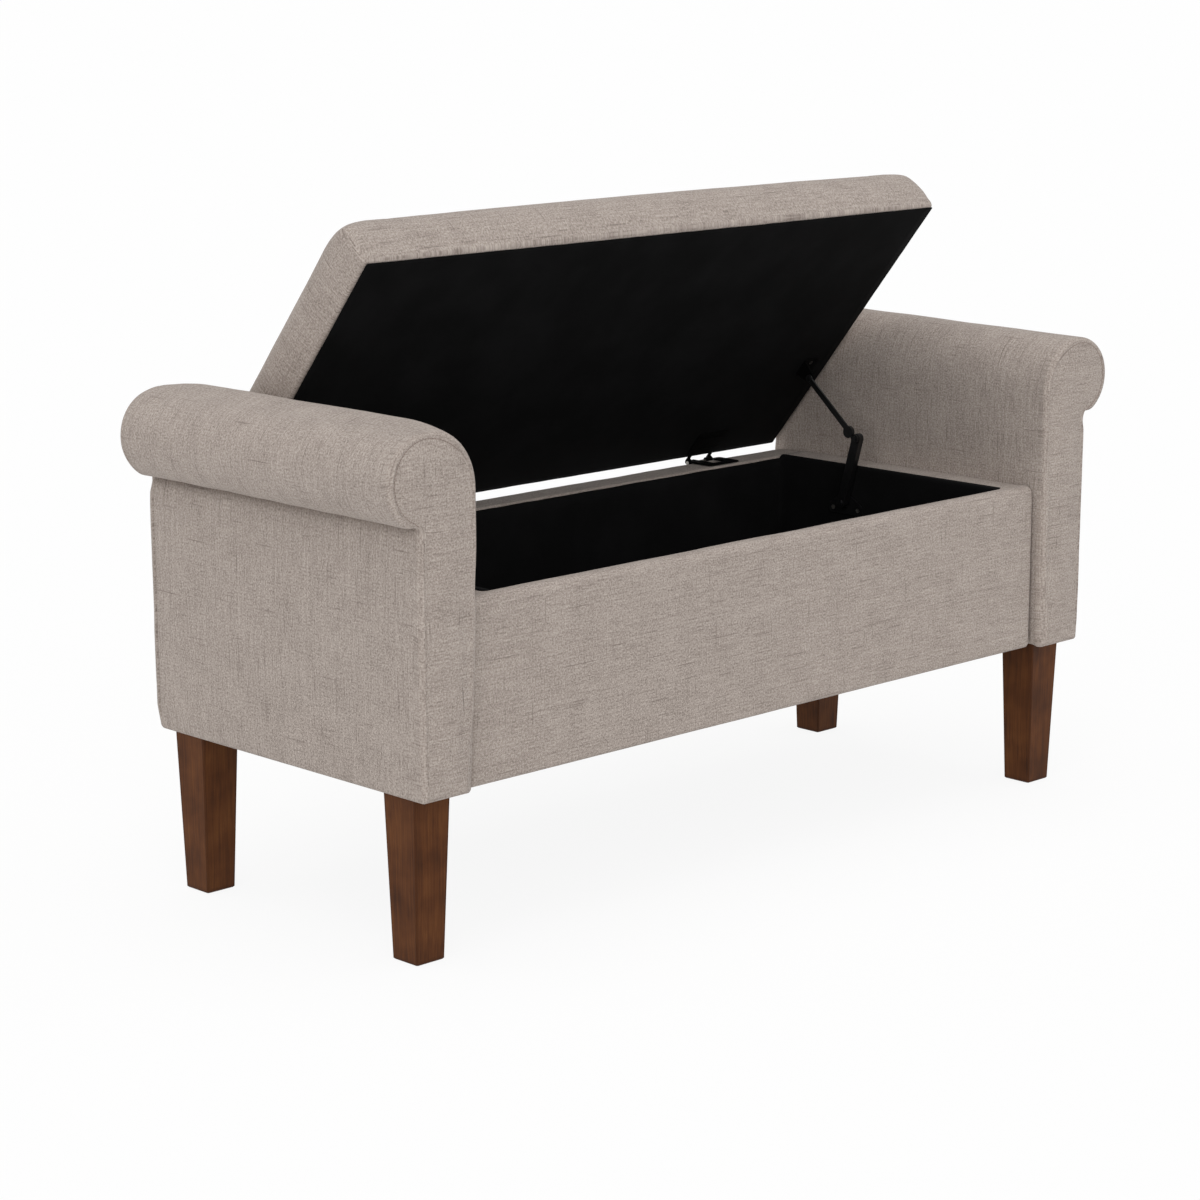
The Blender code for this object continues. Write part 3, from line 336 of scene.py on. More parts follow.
@dataclass(frozen=True)
class StainedWood(Finish):
    """Dark walnut stain on straight-grained legs, deeper along their edges."""

    leg_x: float
    leg_y: float
    middle_y: float
    light: Colour = (0.140, 0.051, 0.0150)
    middle: Colour = (0.088, 0.0285, 0.0080)
    deep: Colour = (0.036, 0.011, 0.003)
    half_foot: float = 0.0215
    taper: float = 0.0295  # growth of the half width for each metre of height

    def inputs(self, graph: Graph) -> dict[str, object]:
        """Grain along the leg, stain gathered at its edges, and colour darker in the lowest few
        millimetres of the leg.
        """
        place = graph.place()
        x, y, z = graph.split(place)
        bend = graph.clouds(graph.join(x * 9.0, y * 9.0, z * 5.0)) * 0.012
        grain = graph.clouds(graph.join((x + bend) * 420.0, (y + bend) * 420.0, z * 9.0), 1.0, 3.0)
        pores = graph.clouds(graph.join(x * 1500.0, y * 1500.0, z * 55.0), 1.0, 1.0)
        cloud = graph.clouds(place, 22.0, 2.0)
        tone = grain * 0.75 + cloud * 0.75 - 0.25
        colour = graph.ramp(tone, [(0.2, self.deep), (0.5, self.middle), (0.82, self.light)])
        half = z * self.taper + self.half_foot
        ragged = cloud * 0.004
        to_side = abs(abs(abs(x) - self.leg_x) - half) - ragged
        to_face = abs(abs(abs(y - self.middle_y) - self.leg_y) - half) - ragged
        edge = (1 - to_side.step(-0.0015, 0.0018)) * (1 - to_face.step(-0.0015, 0.0018))
        # darker in the lowest 7 mm of the leg, next to the floor
        foot = 1 - z.step(0.001, 0.007)
        shade = edge.larger(foot) * 0.55 + pores.step(0.62, 0.72) * 0.25
        return {
            "Base Color": graph.mix(shade, colour, self.deep),
            "Roughness": grain * 0.25 + 0.40,
            "Specular IOR Level": 0.12,
            "Normal": graph.relief(grain * 0.6 + pores * 0.4, 0.00022),
        }


@dataclass(frozen=True)
class Metal(Finish):
    """A metal finish: black satin paint or bare zinc, slightly uneven."""

    colour: Colour
    worn: Colour
    roughness: float
    metallic: float
    shine: float = 0.5
    grain: float = 260.0

    def inputs(self, graph: Graph) -> dict[str, object]:
        """Clouds of wear over a fine grain."""
        place = graph.place()
        cloud = graph.clouds(place, self.grain, 2.0)
        return {
            "Base Color": graph.mix(cloud.step(0.55, 0.75), self.colour, self.worn),
            "Roughness": cloud * 0.2 + (self.roughness - 0.1),
            "Metallic": self.metallic,
            "Specular IOR Level": self.shine,
            "Normal": graph.relief(graph.clouds(place, self.grain * 6, 2.0), 0.00004),
        }


@dataclass(frozen=True)
class Board(Finish):
    """Raw board: plywood or fibreboard, with a faint grain."""

    pale: Colour
    dark: Colour
    stretch: tuple[float, float, float] = (16.0, 260.0, 260.0)

    def inputs(self, graph: Graph) -> dict[str, object]:
        """Grain stretched along the board."""
        values = graph.split(graph.place())
        stretched = [value * share for value, share in zip(values, self.stretch)]
        grain = graph.clouds(graph.join(*stretched), 1.0, 3.0)
        return {
            "Base Color": graph.mix(grain.step(0.3, 0.7), self.pale, self.dark),
            "Roughness": 0.8,
            "Normal": graph.relief(grain, 0.0002, 0.4),
        }


@dataclass(frozen=True)
class Thread(Finish):
    """Sewing thread, matt."""

    colour: Colour = (0.165, 0.105, 0.085)
    fleck: Colour = (0.240, 0.175, 0.148)

    def inputs(self, graph: Graph) -> dict[str, object]:
        """Twisted strands."""
        twist = graph.clouds(graph.place(), 1400.0, 1.0)
        return {
            "Base Color": graph.mix(twist.step(0.35, 0.65), self.colour, self.fleck),
            "Roughness": 0.85,
            "Normal": graph.relief(twist, 0.0001),
        }


# Lines


def arc(
    centre: tuple[float, float], radius: float, start: float, end: float, steps: int
) -> np.ndarray:
    """Points along an arc, both ends included.

    Args:
        centre: Centre of the arc.
        radius: Its radius.
        start: First angle in degrees.
        end: Last angle in degrees.
        steps: Number of equal parts.

    Returns:
        The points.
    """
    angles = np.radians(np.linspace(start, end, steps + 1))
    return np.stack([np.cos(angles), np.sin(angles)], 1) * radius + np.array(centre)


def straight(start: Sequence[float], end: Sequence[float], steps: int) -> np.ndarray:
    """Points between two ends, neither end included."""
    shares = np.linspace(0, 1, steps + 1)[1:-1, None]
    return np.array(start) + (np.array(end) - np.array(start)) * shares


def rounded(
    low: Sequence[float], high: Sequence[float], corner: float, bend: int, sides: tuple[int, int]
) -> np.ndarray:
    """A rectangle with round corners, from its right rear corner round by the left.

    Args:
        low: Left and front edge.
        high: Right and rear edge.
        corner: Radius of the corners.
        bend: Steps of a corner.
        sides: Steps of a long and of a short side.

    Returns:
        Points (x, y).
    """
    left, front, right, rear = low[0] + corner, low[1] + corner, high[0] - corner, high[1] - corner
    centres = ((right, rear), (left, rear), (left, front), (right, front))
    bends = [arc(spot, corner, 90 * i, 90 * i + 90, bend) for i, spot in enumerate(centres)]
    parts = []
    for i, part in enumerate(bends):
        parts += [part, straight(part[-1], bends[(i + 1) % 4][0], sides[i % 2])]
    return np.concatenate(parts)


def closed(line: np.ndarray) -> np.ndarray:
    """A line with its first point repeated at the end."""
    return np.concatenate([line, line[:1]])


def level(outline: np.ndarray, height: float) -> np.ndarray:
    """A closed level ring at a height."""
    ring = closed(outline)
    return np.concatenate([ring, np.full((len(ring), 1), height)], 1)


def smooth(values: np.ndarray | float, low: float, high: float) -> np.ndarray:
    """Smooth rise from 0 at a low value to 1 at a high one."""
    share = np.clip((values - low) / (high - low), 0, 1)
    return share * share * (3 - 2 * share)


def bump(values: np.ndarray, width: float) -> np.ndarray:
    """A bell of height 1 about 0."""
    return np.exp(-((values / width) ** 2))


def lengths_along(points: np.ndarray) -> np.ndarray:
    """How far along a line each of its points lies."""
    steps = np.linalg.norm(np.diff(points, axis=0), axis=1)
    return np.concatenate([[0.0], np.cumsum(steps)])


def spaced(path: np.ndarray, step: float) -> np.ndarray:
    """Points of a path at equal steps."""
    along = lengths_along(path)
    wanted = np.linspace(0, along[-1], max(2, int(along[-1] / step) + 1))
    return np.stack([np.interp(wanted, along, path[:, axis]) for axis in range(3)], 1)


def noise_at(places: np.ndarray, reach: float, start: Sequence[float] = (0, 0, 0)) -> np.ndarray:
    """Smooth noise from -1 to 1, with waves of a reach, at each of some places."""
    return np.array([noise.noise(Vector(place) / reach + Vector(start)) for place in places])


def noise_along(values: np.ndarray, reach: float, second: float, third: float) -> np.ndarray:
    """Smooth noise from -1 to 1 along a line, which two more values choose."""
    return np.array([noise.noise(Vector((value / reach, second, third))) for value in values])


# Meshes


class Draft:
    """Faces of a mesh in the making, each corner with its place in the weave."""

    def __init__(self) -> None:
        """Start with nothing."""
        self.points: list[list[float]] = []
        self.faces: list[list[int]] = []
        self.weave: list[list[float]] = []

    def grid(self, rows: np.ndarray, weave: np.ndarray) -> None:
        """Add quads between rows of points, whose places in the weave are rows too."""
        first = len(self.points)
        index = first + np.arange(rows[..., 0].size).reshape(rows.shape[:2])
        corners = (index[:-1, :-1], index[:-1, 1:], index[1:, 1:], index[1:, :-1])
        quads = np.stack(corners, axis=-1).reshape(-1, 4)
        self.points += rows.reshape(-1, 3).tolist()
        self.faces += quads.tolist()
        self.weave += weave.reshape(-1, 2)[quads.ravel() - first].tolist()

    def cap(self, ring: np.ndarray, weave: np.ndarray) -> None:
        """Close a ring, whose last point repeats the first, with one face."""
        first = len(self.points)
        self.points += ring[:-1].tolist()
        self.faces.append(list(range(first, first + len(ring) - 1)))
        self.weave += weave[:-1].tolist()

    def tube(self, rings: Sequence[np.ndarray], weave: np.ndarray | None = None) -> None:
        """Add a closed form.

        Args:
            rings: Closed rings in order; the first and the last get a cap.
            weave: Each point's place in the weave; x and y where it isn't given.
        """
        rows = np.array(rings)
        places = rows[:, :, :2] if weave is None else weave
        self.grid(rows, places)
        self.cap(rows[0], places[0])
        self.cap(rows[-1], places[-1])

    def finish(self, name: str, material: bpy.types.Material) -> bpy.types.Object:
        """Weld the faces into a smooth mesh, all faces outwards.

        Args:
            name: Name of the piece.
            material: Its finish.

        Returns:
            The piece, in the row frame.
        """
        mesh = bpy.data.meshes.new(name)
        mesh.from_pydata(self.points, [], self.faces)
        put_weave(mesh, np.array(self.weave))
        bm = bmesh.new()
        bm.from_mesh(mesh)
        bmesh.ops.remove_doubles(bm, verts=bm.verts, dist=2e-6)
        bmesh.ops.recalc_face_normals(bm, faces=bm.faces)
        bm.to_mesh(mesh)
        bm.free()
        mesh.shade_smooth()
        mesh.materials.append(material)
        piece = bpy.data.objects.new(name, mesh)
        bpy.context.scene.collection.objects.link(piece)
        return piece


def put_weave(mesh: bpy.types.Mesh, places: np.ndarray) -> None:
    """Give each corner of a mesh its place (x, y) in the cloth."""
    attributes = mesh.attributes
    attribute = attributes.get(WEAVE) or attributes.new(WEAVE, "FLOAT_VECTOR", "CORNER")
    laid = np.zeros((len(places), 3), np.float32)
    laid[:, :2] = places
    attribute.data.foreach_set("vector", laid.ravel())


def read(items: object, key: str, width: int, kind: type = np.float32) -> np.ndarray:
    """A value of every item of a mesh, as rows of a width."""
    found = np.zeros(len(items) * width, kind)
    items.foreach_get(key, found)
    return found.reshape(-1, width)


def places_of(piece: bpy.types.Object) -> np.ndarray:
    """The vertices of a piece."""
    return read(piece.data.vertices, "co", 3).astype(float)


def put_places(piece: bpy.types.Object, places: np.ndarray) -> None:
    """Move the vertices of a piece."""
    piece.data.vertices.foreach_set("co", places.astype(np.float32).ravel())
    piece.data.update()


def normals_of(piece: bpy.types.Object) -> np.ndarray:
    """The vertex normals of a piece."""
    return read(piece.data.vertex_normals, "vector", 3).astype(float)


def sink(piece: bpy.types.Object, depths: np.ndarray) -> None:
    """Move each vertex of a piece inwards by its depth."""
    put_places(piece, places_of(piece) - normals_of(piece) * depths[:, None])


def slacken(
    piece: bpy.types.Object, slack: Slack, turn: float, held: Callable[[np.ndarray], np.ndarray]
) -> None:
    """Let cloth sink unevenly.

    Args:
        piece: The cloth.
        slack: Depth, reach and seed of each pattern of dips.
        turn: What is added to the seeds.
        held: Share of the dips left at each place.
    """
    for depth, reach, first in slack:
        seed = first + turn
        places = places_of(piece)
        waves = noise_at(places, reach, (seed, 2 * seed, 3 * seed))
        sink(piece, depth * np.clip(0.5 + 0.5 * waves, 0, 1) * held(places))


def press_line(piece: bpy.types.Object, path: np.ndarray, depth: float, width: float) -> None:
    """Sink a groove along a path.

    Args:
        piece: The cloth.
        path: Points close together on the cloth.
        depth: Depth of the groove.
        width: Half its width.
    """
    tree = kdtree.KDTree(len(path))
    for index, point in enumerate(path):
        tree.insert(point, index)
    tree.balance()
    distances = np.array([tree.find(place)[2] for place in places_of(piece)])
    sink(piece, depth * bump(distances, width))


def apply_modifiers(piece: bpy.types.Object) -> None:
    """Make a piece's modified mesh its own."""
    evaluated = piece.evaluated_get(bpy.context.evaluated_depsgraph_get())
    mesh = bpy.data.meshes.new_from_object(evaluated)
    piece.modifiers.clear()
    piece.data = mesh


def closed_box(node: str, tilt: Matrix) -> tuple[Vector, Vector]:
    """Lowest and highest corner of a solid, turned back by a tilt."""
    back = tilt.inverted()
    places = [back @ vertex.co for vertex in frame["nodes"][node].data.vertices]
    axes = list(zip(*places))
    return Vector([min(axis) for axis in axes]), Vector([max(axis) for axis in axes])


def join_frame(piece: bpy.types.Object, body: str, slot: str, *nodes: str) -> None:
    """Let a piece ride on a body and stand for some of its solids.

    Args:
        piece: The piece.
        body: The body's name.
        slot: Not used.
        nodes: The solids that it replaces.
    """
    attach(piece, body)
    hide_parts(*nodes)


@dataclass(frozen=True)
class Stitch:
    """A row of stitches, each swollen in its middle."""

    material: bpy.types.Material
    length: float = 0.0031
    pitch: float = 0.0037
    radius: float = 0.00032
    sides: int = 6
    swells: tuple[tuple[float, float], ...] = (
        (0.0, 0.25), (0.12, 0.8), (0.5, 1.0), (0.88, 0.8), (1.0, 0.25),
    )

    def sew(self, name: str, path: np.ndarray) -> bpy.types.Object:
        """Sew a row along a path.

        Args:
            name: Name of the piece.
            path: The line that the stitches follow.

        Returns:
            The stitches as one mesh.
        """
        draft = Draft()
        points = spaced(path, self.pitch)
        angles = np.linspace(0, 2 * math.pi, self.sides + 1)[:, None]
        for first, second in zip(points[:-1], points[1:]):
            apart = np.linalg.norm(second - first)
            along = (second - first) / apart
            other = np.cross(along, (0.31, 0.52, 0.79))
            other = other / np.linalg.norm(other)
            around = np.cos(angles) * other + np.sin(angles) * np.cross(along, other)
            start = first + along * (apart - self.length) / 2
            draft.tube([
                start + along * self.length * share + self.radius * swell * around
                for share, swell in self.swells
            ])
        return draft.finish(name, self.material)


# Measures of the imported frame


@dataclass(frozen=True)
class Measures:
    """Faces and lines that several pieces share; depths are from the middle of the arms."""

    middle_y: float
    arm_inner_x: float
    arm_face_y: float
    bottom: float
    rim: float
    panel_y: float
    end_x: float
    well_x: float
    well_front_y: float
    well_rear_y: float

    @classmethod
    def read(cls) -> "Measures":
        """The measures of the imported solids."""
        arm_low, arm_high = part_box("right_arm_cover")
        panel_low, panel_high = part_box("front_panel_cover")
        lining_low, lining_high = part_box("well_lining")
        middle = (arm_low.y + arm_high.y) / 2
        return cls(
            middle_y=middle,
            arm_inner_x=arm_low.x,
            arm_face_y=(arm_high.y - arm_low.y) / 2,
            bottom=arm_low.z,
            rim=panel_high.z,
            panel_y=middle - panel_low.y,
            end_x=panel_high.x,
            well_x=lining_high.x,
            well_front_y=lining_low.y - middle,
            well_rear_y=lining_high.y - middle,
        )


# Upholstery


@dataclass
class Arm:
    """A rolled arm: cloth drawn tight over its padding, with a stitched seam round each face."""

    side: Side
    measures: Measures
    cloth: bpy.types.Material
    thread: bpy.types.Material
    thickness: float = 0.086
    top: float = 0.627
    roll_radius: float = 0.0565
    shoulder_radius: float = 0.074
    crease_radius: float = 0.0022
    crease_soft: float = 0.011  # reach of the crease into the padding
    crease_lift: float = 0.0035
    pinch_radius: float = 0.009
    pinch_reach: float = 0.014
    corner_radius: float = 0.0055
    least_radius: float = 0.0008
    front_radius: float = 0.0085
    rear_radius: float = 0.011
    draw_in: float = 0.005
    draw_out: float = 0.002
    face_crown: float = 0.0026
    crown_reach: float = 0.026
    face_middle: tuple[float, float] = (0.55, 0.105)  # share of the thickness, below the top
    tuck: float = 0.0026
    clear: float = 0.0002  # the underside below the arm's boards
    proud: float = 0.0020
    rear_proud: float = 0.0030
    front_proud: float = 0.0035
    top_swell: float = 0.0105
    top_reach: float = 0.070
    side_swell: float = 0.0020
    lean: float = 0.0105
    lean_reach: float = 0.0115
    hem: float = 0.0022
    hem_top: float = 0.225
    hem_reach: tuple[float, float] = (0.003, 0.009)
    hem_ends: tuple[float, float] = (0.009, 0.020)  # at the box the cloth hangs only at its ends
    settle: float = 0.0
    gather: float = 0.0011
    gather_reach: float = 0.016
    gather_offset: float = 0.010  # out from and above the crease
    gather_apart: float = 0.034
    slack: Slack = ((0.0016, 0.085, 4.0), (0.0005, 0.026, 9.0))
    seam_turn: float = 5.0  # degrees round the edge from the face to the seam
    seam_groove: tuple[float, float] = (0.0006, 0.0015)
    pinch_groove: tuple[float, float] = (0.0014, 0.0045)
    pinch_line: tuple[tuple[float, float], ...] = ((-0.010, 0.001), (-0.023, -0.008))
    thread_lift: float = 0.00012
    close_rows: float = 0.032  # stretch behind each face with rows close together

    # Steps of the section's parts, in their order
    CORNER, WALL, SHOULDER, ROLL, VALLEY, BASE = 6, 26, 18, 44, 8, 10

    @property
    def inner(self) -> float:
        """Distance of the inner face from the middle of the bench."""
        return self.measures.arm_inner_x

    @property
    def outer(self) -> float:
        """Distance of the outer face from the middle of the bench."""
        return self.inner + self.thickness

    @property
    def shoulder(self) -> tuple[float, float]:
        """Centre of the curve from the inner face to the roll."""
        return (self.inner + self.shoulder_radius, self.top - self.shoulder_radius)

    @property
    def roll(self) -> tuple[float, float]:
        """Centre of the roll."""
        return (self.shoulder[0], self.top - self.roll_radius)

    @property
    def bottom(self) -> float:
        """Height of the arm's underside."""
        return self.measures.bottom - self.clear

    def crease(self, radius: float) -> tuple[float, float]:
        """Centre of the valley under the roll, for a radius of the valley."""
        x = self.outer + radius
        reach = self.roll_radius + radius
        return (x, self.roll[1] - math.sqrt(reach**2 - (x - self.roll[0]) ** 2))

    def section(self, inset: float, behind: float) -> np.ndarray:
        """The arm's outline across Y.

        Args:
            inset: How far inside the cloth the outline runs.
            behind: Distance behind the nearer face, where the valley under the roll opens out.

        Returns:
            Points (x, z) of the right arm, from the inner bottom corner over the roll.
        """
        drawn = float(smooth(behind, 0, self.pinch_reach))
        valley_radius = self.crease_radius + self.pinch_radius * (1 - drawn)
        crease = self.crease(valley_radius)
        angle = math.degrees(math.atan2(crease[1] - self.roll[1], crease[0] - self.roll[0]))
        corner = max(self.corner_radius - inset, self.least_radius)
        low = self.bottom + inset + corner
        start = arc((self.inner + inset + corner, low), corner, 270, 180, self.CORNER)
        end = arc((self.outer - inset - corner, low), corner, 0, -90, self.CORNER)
        shoulder = arc(self.shoulder, self.shoulder_radius - inset, 180, 90, self.SHOULDER)
        roll = arc(self.roll, self.roll_radius - inset, 90, angle, self.ROLL)[1:]
        valley = arc(crease, valley_radius + inset, angle + 180, 180, self.VALLEY)[1:]
        shares = np.linspace(0, 1, self.VALLEY + 2)[1:-1]
        valley[:, 0] -= self.tuck * drawn * np.sin(math.pi * shares)
        outline = np.concatenate([
            start,
            straight(start[-1], shoulder[0], self.WALL),
            shoulder,
            roll,
            valley,
            straight(valley[-1], end[0], self.WALL),
            end,
            straight(end[-1], start[0], self.BASE),
        ])
        middle = self.inner + self.thickness / 2
        aside = np.clip((middle - outline[:, 0]) / (self.thickness / 2), -1, 1)
        draw = np.where(aside > 0, self.draw_in, self.draw_out)
        outline[:, 0] += draw * self.low_share(outline[:, 1]) * aside
        return outline

    def low_share(self, heights: np.ndarray) -> np.ndarray:
        """How low heights lie: 0 at the rim, 1 at the bottom."""
        return np.clip((self.measures.rim - heights) / (self.measures.rim - self.bottom), 0, 1)

    def ring(self, turn: float, radius: float) -> tuple[np.ndarray, float]:
        """A ring on the rounded edge.

        Args:
            turn: Degrees round the edge, 0 at the face and 90 at the side.
            radius: Radius of the edge.

        Returns:
            The outline, and its depth behind the face.
        """
        angle = math.radians(turn)
        behind = radius * (1 - math.cos(angle))
        return self.section(radius * (1 - math.sin(angle)), behind), behind

    def in_frame(self, outline: np.ndarray, depth: float) -> np.ndarray:
        """Points of an outline at a depth from the middle of the arm, in the row frame."""
        y = np.full(len(outline), self.measures.middle_y + depth)
        return np.stack([self.side.value * outline[:, 0], y, outline[:, 1]], 1)

    def build(self) -> bpy.types.Object:
        """The arm's upholstery, still without swelling and slack."""
        face = self.measures.arm_face_y
        around = lengths_along(closed(self.section(0.0, face)))
        turns = np.linspace(0, 90, 17)
        front = [self.ring(turn, self.front_radius) for turn in turns]
        rear = [self.ring(turn, self.rear_radius) for turn in turns]
        close = np.linspace(self.front_radius, self.close_rows, 12)[1:]
        far = face - self.close_rows
        amid = np.linspace(-far, far, 72)[1:-1]
        depths = np.concatenate([close - face, amid, face - close[::-1]])
        rows = [(outline, -face + behind) for outline, behind in front]
        rows += [(self.section(0.0, face - abs(depth)), depth) for depth in depths]
        rows += [(outline, face - behind) for outline, behind in reversed(rear)]
        spots = [
            *(-face + self.front_radius * np.radians(turns)),
            *depths,
            *(face - self.rear_radius * np.radians(turns[::-1])),
        ]
        draft = Draft()
        draft.grid(
            np.array([self.in_frame(closed(outline), depth) for outline, depth in rows]),
            np.array([[(place, spot) for place in around] for spot in spots]),
        )
        self.add_face(draft, front[0][0], -1)
        self.add_face(draft, rear[0][0], 1)
        return draft.finish(f"{self.side.label}_arm_upholstery", self.cloth)

    def add_face(self, draft: Draft, outline: np.ndarray, end: int) -> None:
        """Close one end of the arm with a softly crowned face.

        Args:
            draft: The mesh in the making.
            outline: The flat edge of the face.
            end: -1 for the front, 1 for the rear.
        """
        share, below = self.face_middle
        middle = np.array([self.inner + share * self.thickness, self.top - below])
        rows = []
        for share in (1.0, 0.97, 0.93, 0.88, 0.82, 0.74, 0.65, 0.55, 0.45, 0.34, 0.22, 0.10):
            ring = middle + (outline - middle) * share
            row = self.in_frame(closed(ring), end * self.measures.arm_face_y)
            to_edge = np.linalg.norm(ring[:, None] - outline[None], axis=2).min(axis=1)
            row[:, 1] += end * self.face_crown * smooth(closed(to_edge), 0, self.crown_reach)
            rows.append(row)
        grid = np.array(rows)
        weave = grid[:, :, [0, 2]]
        draft.grid(grid, weave)
        draft.cap(grid[-1], weave[-1])

    def swell(self, piece: bpy.types.Object) -> None:
        """Let the padding stand proud of the boards, and the cloth lean and hang at its edges."""
        places, normals = places_of(piece), normals_of(piece)
        across, height = np.abs(places[:, 0]), places[:, 2].copy()
        depth = places[:, 1] - self.measures.middle_y
        behind = self.measures.arm_face_y - np.abs(depth)
        in_crease, out = self.padding(across, height, depth)
        at_face = np.abs(normals[:, 1]) > 0.94
        places += normals * np.where(at_face, 0, out)[:, None]
        places[:, 2] += self.crease_lift * in_crease
        depth = places[:, 1] - self.measures.middle_y
        places[:, 1] -= self.front_proud * smooth(-depth, 0.16, 0.25)
        height = places[:, 2].copy()
        towards_box = 1 - smooth(across, self.inner, self.inner + 0.8 * self.thickness)
        at_edge = 1 - smooth(behind, 0, self.lean_reach)
        pull = self.lean * self.low_share(height) ** 2.2 * at_edge * towards_box
        edge = np.minimum(self.outer - self.draw_out - across, behind)
        at_box = 1 - smooth(across - self.inner - self.draw_in, *self.hem_reach)
        at_box = at_box * (1 - smooth(behind, *self.hem_ends))
        hangs = np.maximum(1 - smooth(edge, *self.hem_reach), at_box)
        places[:, 0] += self.side.value * pull
        places[:, 2] -= self.hem * hangs * (1 - smooth(height, self.bottom, self.hem_top))
        put_places(piece, self.settled(places))

    def padding(
        self, across: np.ndarray, height: np.ndarray, depth: np.ndarray
    ) -> tuple[np.ndarray, np.ndarray]:
        """How far the padding stands out: most on the shoulder, not at all at the box.

        Args:
            across: Distances from the middle of the bench.
            height: Heights.
            depth: Depths from the middle of the arm.

        Returns:
            Nearness to the crease, and how far out the padding stands.
        """
        rim = self.measures.rim
        behind = self.measures.arm_face_y - np.abs(depth)
        along = 1 - (1 - np.clip(behind / self.top_reach, 0, 1)) ** 2
        angle = np.degrees(np.arctan2(height - self.shoulder[1], across - self.shoulder[0]))
        on_top = smooth(angle, 78, 118) * (1 - smooth(angle, 122, 175))
        off_top = 1 - bump(angle - 85, 28)
        x, z = self.crease(self.crease_radius)
        in_crease = np.exp(-(((across - x) ** 2 + (height - z) ** 2) / self.crease_soft**2))
        outwards = across > self.inner + 0.6 * self.thickness
        below_roll = outwards & (height < z)
        share = np.clip((height - self.bottom) / (z - self.bottom), 0, 1)
        outside = np.where(below_roll, np.sin(math.pi * share), 0)
        free = np.where(outwards, 1, smooth(height, rim + 0.01, rim + 0.07))
        free = free * smooth(height, self.bottom + 0.001, self.bottom + 0.03)
        out = (
            self.proud * free * off_top
            + self.rear_proud * smooth(depth, -0.15, 0.20) * below_roll * free
            + self.top_swell * on_top * along
            + self.side_swell * outside * along
        )
        return in_crease, out * (1 - 0.9 * in_crease)

    def settled(self, places: np.ndarray) -> np.ndarray:
        """Places with the top of the arm settled towards the front."""
        ahead = smooth(self.measures.middle_y - places[:, 1], -0.20, 0.24)
        made = places.copy()
        made[:, 2] -= self.settle * ahead * smooth(places[:, 2], 0.47, 0.62)
        return made

    def held(self, places: np.ndarray) -> np.ndarray:
        """Share of the slack at each place: none at the box, little at the bottom edge."""
        low = np.clip((places[:, 2] - self.bottom) / 0.03, 0, 1)
        beside = np.abs(places[:, 0]) - self.inner < 0.012
        return np.where(beside & (places[:, 2] < self.measures.rim + 0.004), 0.0, low)

    def pucker(self, piece: bpy.types.Object) -> None:
        """Draw small gathers into the roll above the crease."""
        places = places_of(piece)
        x, z = self.crease(self.crease_radius)
        across = np.abs(places[:, 0])
        out, up = across - x - self.gather_offset, places[:, 2] - z - self.gather_offset
        near = bump(np.hypot(out, up), self.gather_reach)
        near[across < x] = 0
        seed = 3.7 + self.side.value
        waves = noise_along(places[:, 1], self.gather_apart, seed, -seed)
        sink(piece, near * self.gather * np.clip(0.4 + waves, 0, 1.4))

    def seam_path(self, end: int) -> np.ndarray:
        """The facing seam at one end of the arm: from amid the shoulder over the roll."""
        radius = self.front_radius if end < 0 else self.rear_radius
        outline, behind = self.ring(self.seam_turn, radius)
        first = self.CORNER + self.WALL
        last = first + self.SHOULDER + self.ROLL + 3
        line = outline[first + self.SHOULDER // 2 : last]
        depth = end * (self.measures.arm_face_y - behind) - self.front_proud * (end < 0)
        return spaced(self.settled(self.in_frame(line, depth)), 0.0005)

    def pinch_path(self, end: int) -> np.ndarray:
        """A short line on a face, where the crease dies away."""
        x, z = self.crease(self.crease_radius + self.pinch_radius)
        first, last = (np.array((x, z)) + step for step in self.pinch_line)
        line = np.linspace(first, last, 12)
        return self.in_frame(line, end * self.measures.arm_face_y - self.front_proud * (end < 0))

    def sunk(self, piece: bpy.types.Object, path: np.ndarray) -> np.ndarray:
        """A path laid onto the finished cloth.

        Args:
            piece: The cloth.
            path: Points near it.

        Returns:
            Points just above the cloth.
        """
        found = []
        for point in path[::4]:
            _, place, normal, _ = piece.closest_point_on_mesh(Vector(point))
            found.append(np.array(place) + np.array(normal) * self.thread_lift)
        return np.array(found)

    def dress(self) -> list[bpy.types.Object]:
        """Build the arm and its seams and put them on the frame.

        Returns:
            The pieces.
        """
        piece = self.build()
        self.swell(piece)
        slacken(piece, self.slack, self.side.value, self.held)
        self.pucker(piece)
        join_frame(piece, "bench", "cloth", f"{self.side.label}_arm_cover")
        pieces = [piece]
        stitch = Stitch(self.thread)
        for facing in Facing:
            path = self.seam_path(facing.value)
            press_line(piece, self.pinch_path(facing.value), *self.pinch_groove)
            press_line(piece, path, *self.seam_groove)
            name = f"{self.side.label}_arm_{facing.label}_seam"
            seam = stitch.sew(name, self.sunk(piece, path))
            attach(seam, "bench")
            pieces.append(seam)
        return pieces


